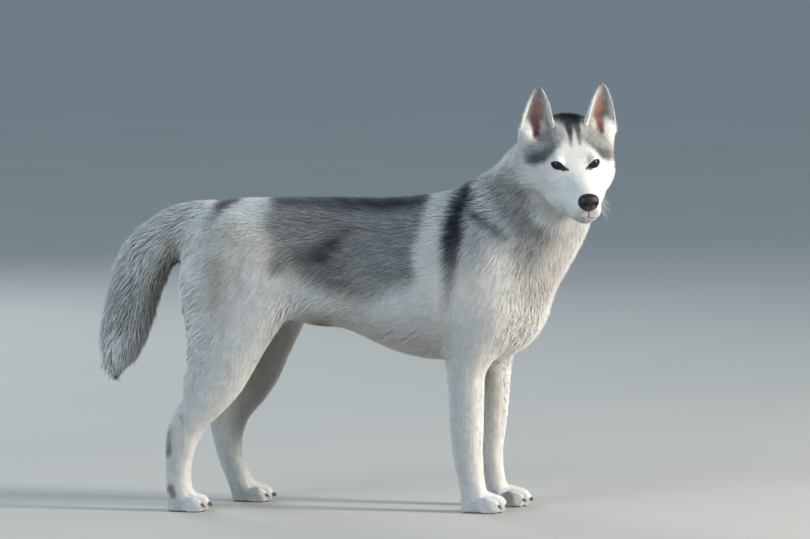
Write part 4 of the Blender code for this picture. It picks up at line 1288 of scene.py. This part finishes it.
def unwraps(skin):
    """For each region, a light copy of the skin's own shape there, unwrapped: its triangles' places and map places."""
    plain = linked("unwrapping", skin.data.copy())
    apply_modifier(plain, "DECIMATE", ratio=26000 / len(plain.data.polygons), use_collapse_triangulate=True)
    mesh = plain.data
    points, corners = read_points(mesh), read_triangles(mesh)
    middles = points[corners].mean(1)
    owner = region_of(node_of(middles), middles)
    while mesh.uv_layers:
        mesh.uv_layers.remove(mesh.uv_layers[0])
    mesh.uv_layers.new(name="unwrap")
    found = []
    for number in range(len(REGIONS)):
        picked = owner == number
        pick_faces(plain, picked)
        bpy.ops.uv.smart_project(angle_limit=math.radians(66), island_margin=0.004)
        bpy.ops.object.mode_set(mode="OBJECT")
        uv = np.empty(len(mesh.loops) * 2, np.float32)
        mesh.uv_layers[0].data.foreach_get("uv", uv)
        uv = uv.reshape(-1, 3, 2)[picked]
        shape = points[corners[picked]]
        flat = shape.reshape(-1, 3)
        tree = BVHTree.FromPolygons(flat.tolist(), np.arange(len(flat)).reshape(-1, 3).tolist())
        found.append((tree, shape, uv))
    bpy.data.objects.remove(plain)
    return found


def map_places(unwrap, roots):
    """Each root's place on its region's unwrap."""
    tree, shape, uv = unwrap
    hits = [tree.find_nearest(Vector(root)) for root in roots]
    face = np.array([hit[2] for hit in hits])
    place = np.array([hit[0] for hit in hits])
    a, b, c = (shape[face, k] for k in range(3))
    ab, ac, ap = b - a, c - a, place - a
    d00, d01, d11 = (ab * ab).sum(1), (ab * ac).sum(1), (ac * ac).sum(1)
    d20, d21 = (ap * ab).sum(1), (ap * ac).sum(1)
    scale = np.maximum(d00 * d11 - d01 * d01, 1e-20)
    v = np.clip((d11 * d20 - d01 * d21) / scale, 0, 1)
    w = np.clip((d00 * d21 - d01 * d20) / scale, 0, 1)
    u = np.clip(1 - v - w, 0, 1)
    found = u[:, None] * uv[face, 0] + v[:, None] * uv[face, 1] + w[:, None] * uv[face, 2]
    return np.clip(found, PATCH, 1 - PATCH)


def grow_coat(skin, fields, names):
    corners = read_triangles(skin.data)
    skin_tree = kd_tree(fields["point"])
    tufts = lay_coat(fields, corners, names, skin_tree)
    colours = tuft_tones(tufts)
    regions = region_of(tufts["name"], tufts["root"])
    maps = unwraps(skin)
    uv = np.zeros((len(regions), 2))
    material = coat_material("husky_fur", 260.0, (1.0, 1.0, 1.0))
    total = 0
    for number, (name, _, _, _) in enumerate(REGIONS):
        picked = np.nonzero(regions == number)[0]
        uv[picked] = map_places(maps[number], tufts["root"][picked])
        points, triangles, tone, shading, places = tuft_mesh(tufts, picked, colours, uv)
        print(f"fur_{name}: {len(picked)} tufts, {len(triangles)} triangles")
        total += len(triangles)
        mesh = mesh_of(f"fur_{name}", points, triangles)
        mesh.shade_smooth()
        set_tone(mesh, tone)
        layer = mesh.uv_layers.new(name="OFBake")
        layer.data.foreach_set("uv", places[triangles.ravel()].astype(np.float32).ravel())
        mesh.normals_split_custom_set_from_vertices(shading.tolist())
        mesh.materials.append(material)
        fur = linked(f"fur_{name}", mesh)
        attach(fur, "root")
    print("coat triangles", total)


def eye_material(name, side):
    """Wet brown iris round a black pupil, dark toward the lids."""
    made, tree, shader = new_material(name, 0.06)
    shader.inputs["Specular IOR Level"].default_value = 0.3
    shader.inputs["Coat Weight"].default_value = 0.25
    shader.inputs["Coat Roughness"].default_value = 0.02
    place = tree.nodes.new("ShaderNodeTexCoord")
    centre = HEAD_FRAME @ Vector((EYE_PLACE[0], side * EYE_PLACE[1], EYE_PLACE[2]))
    forward = HEAD_TURN @ Vector((math.cos(GAZE_OUT), side * math.sin(GAZE_OUT), 0.0))
    reach = tree.nodes.new("ShaderNodeVectorMath")
    reach.operation = "DISTANCE"
    reach.inputs[1].default_value = centre + forward * EYE_RADIUS
    tree.links.new(place.outputs["Object"], reach.inputs[0])
    ramp = tree.nodes.new("ShaderNodeValToRGB")
    stops = ramp.color_ramp.elements
    stops[0].position, stops[0].color = 0.0, (0.002, 0.002, 0.002, 1)
    stops[1].position, stops[1].color = 1.0, (0.030, 0.020, 0.018, 1)
    for position, colour in (
        (0.28, (0.002, 0.002, 0.002, 1)),
        (0.34, (0.014, 0.006, 0.003, 1)),
        (0.56, (0.030, 0.013, 0.006, 1)),
        (0.66, (0.004, 0.003, 0.002, 1)),
        (0.82, (0.016, 0.011, 0.011, 1)),
    ):
        stop = stops.new(position)
        stop.color = colour
    spread = tree.nodes.new("ShaderNodeMapRange")
    spread.inputs["From Max"].default_value = 0.011
    tree.links.new(reach.outputs["Value"], spread.inputs["Value"])
    tree.links.new(spread.outputs["Result"], ramp.inputs["Fac"])
    fibres = scaled(tree, noise(tree, 900.0, 4.0), 0.75, 1.25)
    tree.links.new(multiplied(tree, ramp.outputs["Color"], fibres), shader.inputs["Base Color"])
    return made


GAZE_OUT = math.radians(14)


def build_eyes():
    for side, name in ((1, "left"), (-1, "right")):
        deselect()
        bpy.ops.mesh.primitive_uv_sphere_add(segments=48, ring_count=32, radius=EYE_RADIUS)
        eye = bpy.context.object
        eye.name = f"eyeball_{name}"
        bulge = math.radians(34)
        for vertex in eye.data.vertices:
            turn = vertex.co.angle(Vector((0, 0, 1)))
            if turn < bulge:
                vertex.co *= 1 + 0.045 * (1 - (turn / bulge) ** 2) ** 2
        forward = HEAD_TURN @ Vector((math.cos(GAZE_OUT), side * math.sin(GAZE_OUT), 0.0))
        centre = HEAD_FRAME @ Vector((EYE_PLACE[0], side * EYE_PLACE[1], EYE_PLACE[2]))
        eye.data.transform(Matrix.Translation(centre) @ forward.to_track_quat("Z", "Y").to_matrix().to_4x4())
        bpy.ops.object.shade_smooth()
        eye.data.materials.append(eye_material(f"eye_{name}_wet", side))
        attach(eye, "root")
        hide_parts(f"eye_{name}")


def nose_material():
    made, tree, shader = new_material("nose_leather", 0.38)
    shader.inputs["Specular IOR Level"].default_value = 0.34
    tone = tree.nodes.new("ShaderNodeAttribute")
    tone.attribute_name = "tone"
    cells = tree.nodes.new("ShaderNodeTexVoronoi")
    cells.feature = "DISTANCE_TO_EDGE"
    cells.inputs["Scale"].default_value = 900.0
    place = tree.nodes.new("ShaderNodeTexCoord")
    tree.links.new(place.outputs["Object"], cells.inputs["Vector"])
    mottled = scaled(tree, noise(tree, 260.0, 4.0), 0.75, 1.3)
    tree.links.new(multiplied(tree, tone.outputs["Color"], mottled), shader.inputs["Base Color"])
    bumped(tree, shader, scaled(tree, cells.outputs["Distance"], 0.0, 4.0), 0.28, 0.0004)
    tree.links.new(scaled(tree, noise(tree, 300.0), 0.3, 0.5), shader.inputs["Roughness"])
    return made


def build_nose():
    """The nose pad: a broad wedge with open nostrils, their slits and a groove below."""
    deselect()
    bpy.ops.mesh.primitive_uv_sphere_add(segments=72, ring_count=48, radius=1.0)
    nose = bpy.context.object
    nose.name = "nose_pad"
    nose.data.transform(Matrix.Rotation(math.pi / 2, 4, "Y"))
    unit_places = read_points(nose.data)
    x, y, z = unit_places.T
    wide = 1 + 0.10 * z - 0.10 * np.clip(-z, 0, 1) ** 2
    boxy = np.stack((np.sign(x) * np.abs(x) ** 0.85, np.sign(y) * np.abs(y) ** 0.90 * wide, np.sign(z) * np.abs(z) ** 0.92), 1)
    points = boxy * np.array(NOSE_RADII) * (1.04, 1.02, 1.02)
    folded = points.copy()
    folded[:, 1] = np.abs(folded[:, 1])
    front = smoothstep(-0.001, 0.003, points[:, 0])
    nostril = np.array((0.0092, 0.0096, -0.0014))
    gap = np.linalg.norm((folded - nostril) * (0.6, 1.0, 1.15), axis=1)
    pit = np.exp(-((gap / 0.0041) ** 2.4))
    slit_path = (nostril, (0.0065, 0.0138, -0.0042), (0.0020, 0.0172, -0.0054))
    slit = np.exp(-((to_path(folded, slit_path)[0] / 0.0013) ** 2))
    groove = np.exp(-((points[:, 1] / 0.0009) ** 2)) * smoothstep(0.002, -0.004, points[:, 2]) * front
    wing = np.exp(-((np.linalg.norm(folded - np.array((0.0085, 0.0125, 0.0010)), axis=1) / 0.0045) ** 2))
    inward = unit(np.array((-0.004, 0.0, 0.0)) - points)
    points += inward * (0.0052 * pit * front + 0.0022 * slit + 0.0011 * groove - 0.0009 * wing)[:, None]
    colour = np.tile((0.008, 0.008, 0.011), (len(points), 1))
    pale = np.exp(-((np.linalg.norm(folded - np.array((0.0105, 0.0040, -0.0085)), axis=1) / 0.0042) ** 2))
    colour = colour + 0.55 * pale[:, None] * (np.array((0.20, 0.085, 0.075)) - colour)
    # Painted shade: the nostrils' pits and slits are darkened almost to black, as if deep openings.
    colour = colour * (1 - 0.92 * np.clip(pit + 0.6 * slit, 0, 1))[:, None]
    write_points(nose.data, points)
    nose.data.transform(HEAD_FRAME @ Matrix.Translation(NOSE_PLACE))
    set_tone(nose.data, colour)
    select_only(nose)
    bpy.ops.object.shade_smooth()
    nose.data.materials.append(nose_material())
    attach(nose, "root")
    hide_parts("nose")


def claw_material():
    made, tree, shader = new_material("claw_horn", 0.4)
    ramp = tree.nodes.new("ShaderNodeValToRGB")
    ramp.color_ramp.elements[0].color = (0.030, 0.024, 0.021, 1)
    ramp.color_ramp.elements[1].color = (0.17, 0.13, 0.105, 1)
    tree.links.new(noise(tree, 500.0, 4.0, stretch=(0.2, 1.0, 0.5)), ramp.inputs["Fac"])
    tree.links.new(ramp.outputs["Color"], shader.inputs["Base Color"])
    bumped(tree, shader, noise(tree, 1500.0, 2.0, stretch=(0.15, 1.0, 0.6)), 0.3, 0.0002)
    return made


CLAW_LENGTH = 0.0140
CLAW_RADIUS = 0.0029


def build_claws():
    """Sixteen curved claws, each ending where its CAD node does."""
    horn = claw_material()
    for name in sorted(nodes):
        if not name.startswith("claw"):
            continue
        low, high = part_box(name)
        deselect()
        bpy.ops.mesh.primitive_cone_add(vertices=14, radius1=CLAW_RADIUS, radius2=0.0004, depth=CLAW_LENGTH)
        claw = bpy.context.object
        claw.name = name.replace("claw", "nail")
        claw.data.name = claw.name
        bpy.ops.object.mode_set(mode="EDIT")
        bpy.ops.mesh.select_all(action="SELECT")
        bpy.ops.mesh.bisect(plane_co=(0, 0, 0), plane_no=(0, 0, 1))
        bpy.ops.mesh.select_all(action="SELECT")
        for share in (-0.32, -0.16, 0.16, 0.32):
            bpy.ops.mesh.bisect(plane_co=(0, 0, share * CLAW_LENGTH), plane_no=(0, 0, 1))
            bpy.ops.mesh.select_all(action="SELECT")
        bpy.ops.object.mode_set(mode="OBJECT")
        points = read_points(claw.data)
        share = points[:, 2] / CLAW_LENGTH + 0.5
        round_off = (1 - share**2.2) ** 0.5
        cone = 1 - share * (1 - 0.0004 / CLAW_RADIUS)
        keep = np.maximum(round_off, 0.16) / np.maximum(cone, 0.02)
        points[:, 0] *= keep * 1.05
        points[:, 1] *= keep * 0.80
        sag = 0.0052 * (share - 0.15) ** 2
        points = np.column_stack((points[:, 2], points[:, 1], -points[:, 0] - sag))
        write_points(claw.data, points)
        tip = Vector((CLAW_LENGTH / 2, 0, -0.0052 * 0.85**2))
        outward = 5 * (int(name[-1]) - 2.5)
        turn = Euler((0, math.radians(14), math.radians(outward))).to_matrix()
        end = Vector((high.x, (low.y + high.y) / 2, low.z + 0.0012))
        claw.data.transform(Matrix.Translation(end - turn @ tip) @ turn.to_4x4())
        claw.data.flip_normals() if signed_volume(claw.data) < 0 else None
        select_only(claw)
        bpy.ops.object.shade_smooth()
        claw.data.materials.append(horn)
        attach(claw, "root")
        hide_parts(name)


def signed_volume(mesh):
    mesh.calc_loop_triangles()
    points = read_points(mesh)
    corners = np.array([triangle.vertices[:] for triangle in mesh.loop_triangles])
    a, b, c = (points[corners[:, k]] for k in range(3))
    return float((np.cross(a, b) * c).sum())


def build_whiskers():
    """Tapered bristles from the lip pads and over the eyes, in one piece."""
    strands = []
    for side in (1, -1):
        for row, (height, rows) in enumerate(((-0.040, 5), (-0.048, 6), (-0.056, 5))):
            for step in range(rows):
                start = Vector((0.082 - 0.009 * step - 0.002 * row, side * (0.023 + 0.0016 * step), height - 0.001 * step))
                way = Vector((0.10 - 0.13 * step, side * 1.0, -0.10 - 0.22 * row + rng.uniform(-0.08, 0.08)))
                strands.append((start, way, 0.020 + 0.0042 * step + rng.uniform(0, 0.006)))
        for step in range(3):
            start = Vector((-0.002, side * (0.020 + 0.004 * step), 0.024))
            way = Vector((0.55, side * (0.5 + 0.2 * step), 0.9))
            strands.append((start, way, 0.020))
    points, triangles = [], []
    for start, way, length in strands:
        way = way.normalized()
        across = way.cross(Vector((0, 0, 1))).normalized()
        upward = across.cross(way)
        first = len(points)
        steps = 8
        for step in range(steps + 1):
            t = step / steps
            bend = Vector((-0.35, 0, -0.55)) * (length * t * t)
            middle = start + way * (length * t) + bend
            radius = 0.00028 * (1 - t) + 0.00006
            for corner in range(3):
                turn = 2 * math.pi * corner / 3
                points.append(middle + across * (radius * math.cos(turn)) + upward * (radius * math.sin(turn)))
        for step in range(steps):
            for corner in range(3):
                after = (corner + 1) % 3
                a, b = first + 3 * step + corner, first + 3 * step + after
                triangles += [(a, b, b + 3), (a, b + 3, a + 3)]
        triangles += [(first + 2, first + 1, first), (first + 3 * steps, first + 3 * steps + 1, first + 3 * steps + 2)]
    placed = from_head(np.array([tuple(point) for point in points]))
    mesh = mesh_of("whiskers", placed, np.array(triangles))
    if signed_volume(mesh) < 0:
        mesh.flip_normals()
    mesh.shade_smooth()
    set_tone(mesh, np.tile((0.82, 0.80, 0.76), (len(placed), 1)))
    mesh.materials.append(coat_material("whisker_bristle", 500.0, None))
    whiskers = linked("whiskers", mesh)
    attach(whiskers, "root")


camera()
studio()
skin, fields, names = build_skin()
print("skin triangles", len(skin.data.polygons))
grow_coat(skin, fields, names)
build_eyes()
build_nose()
build_claws()
build_whiskers()
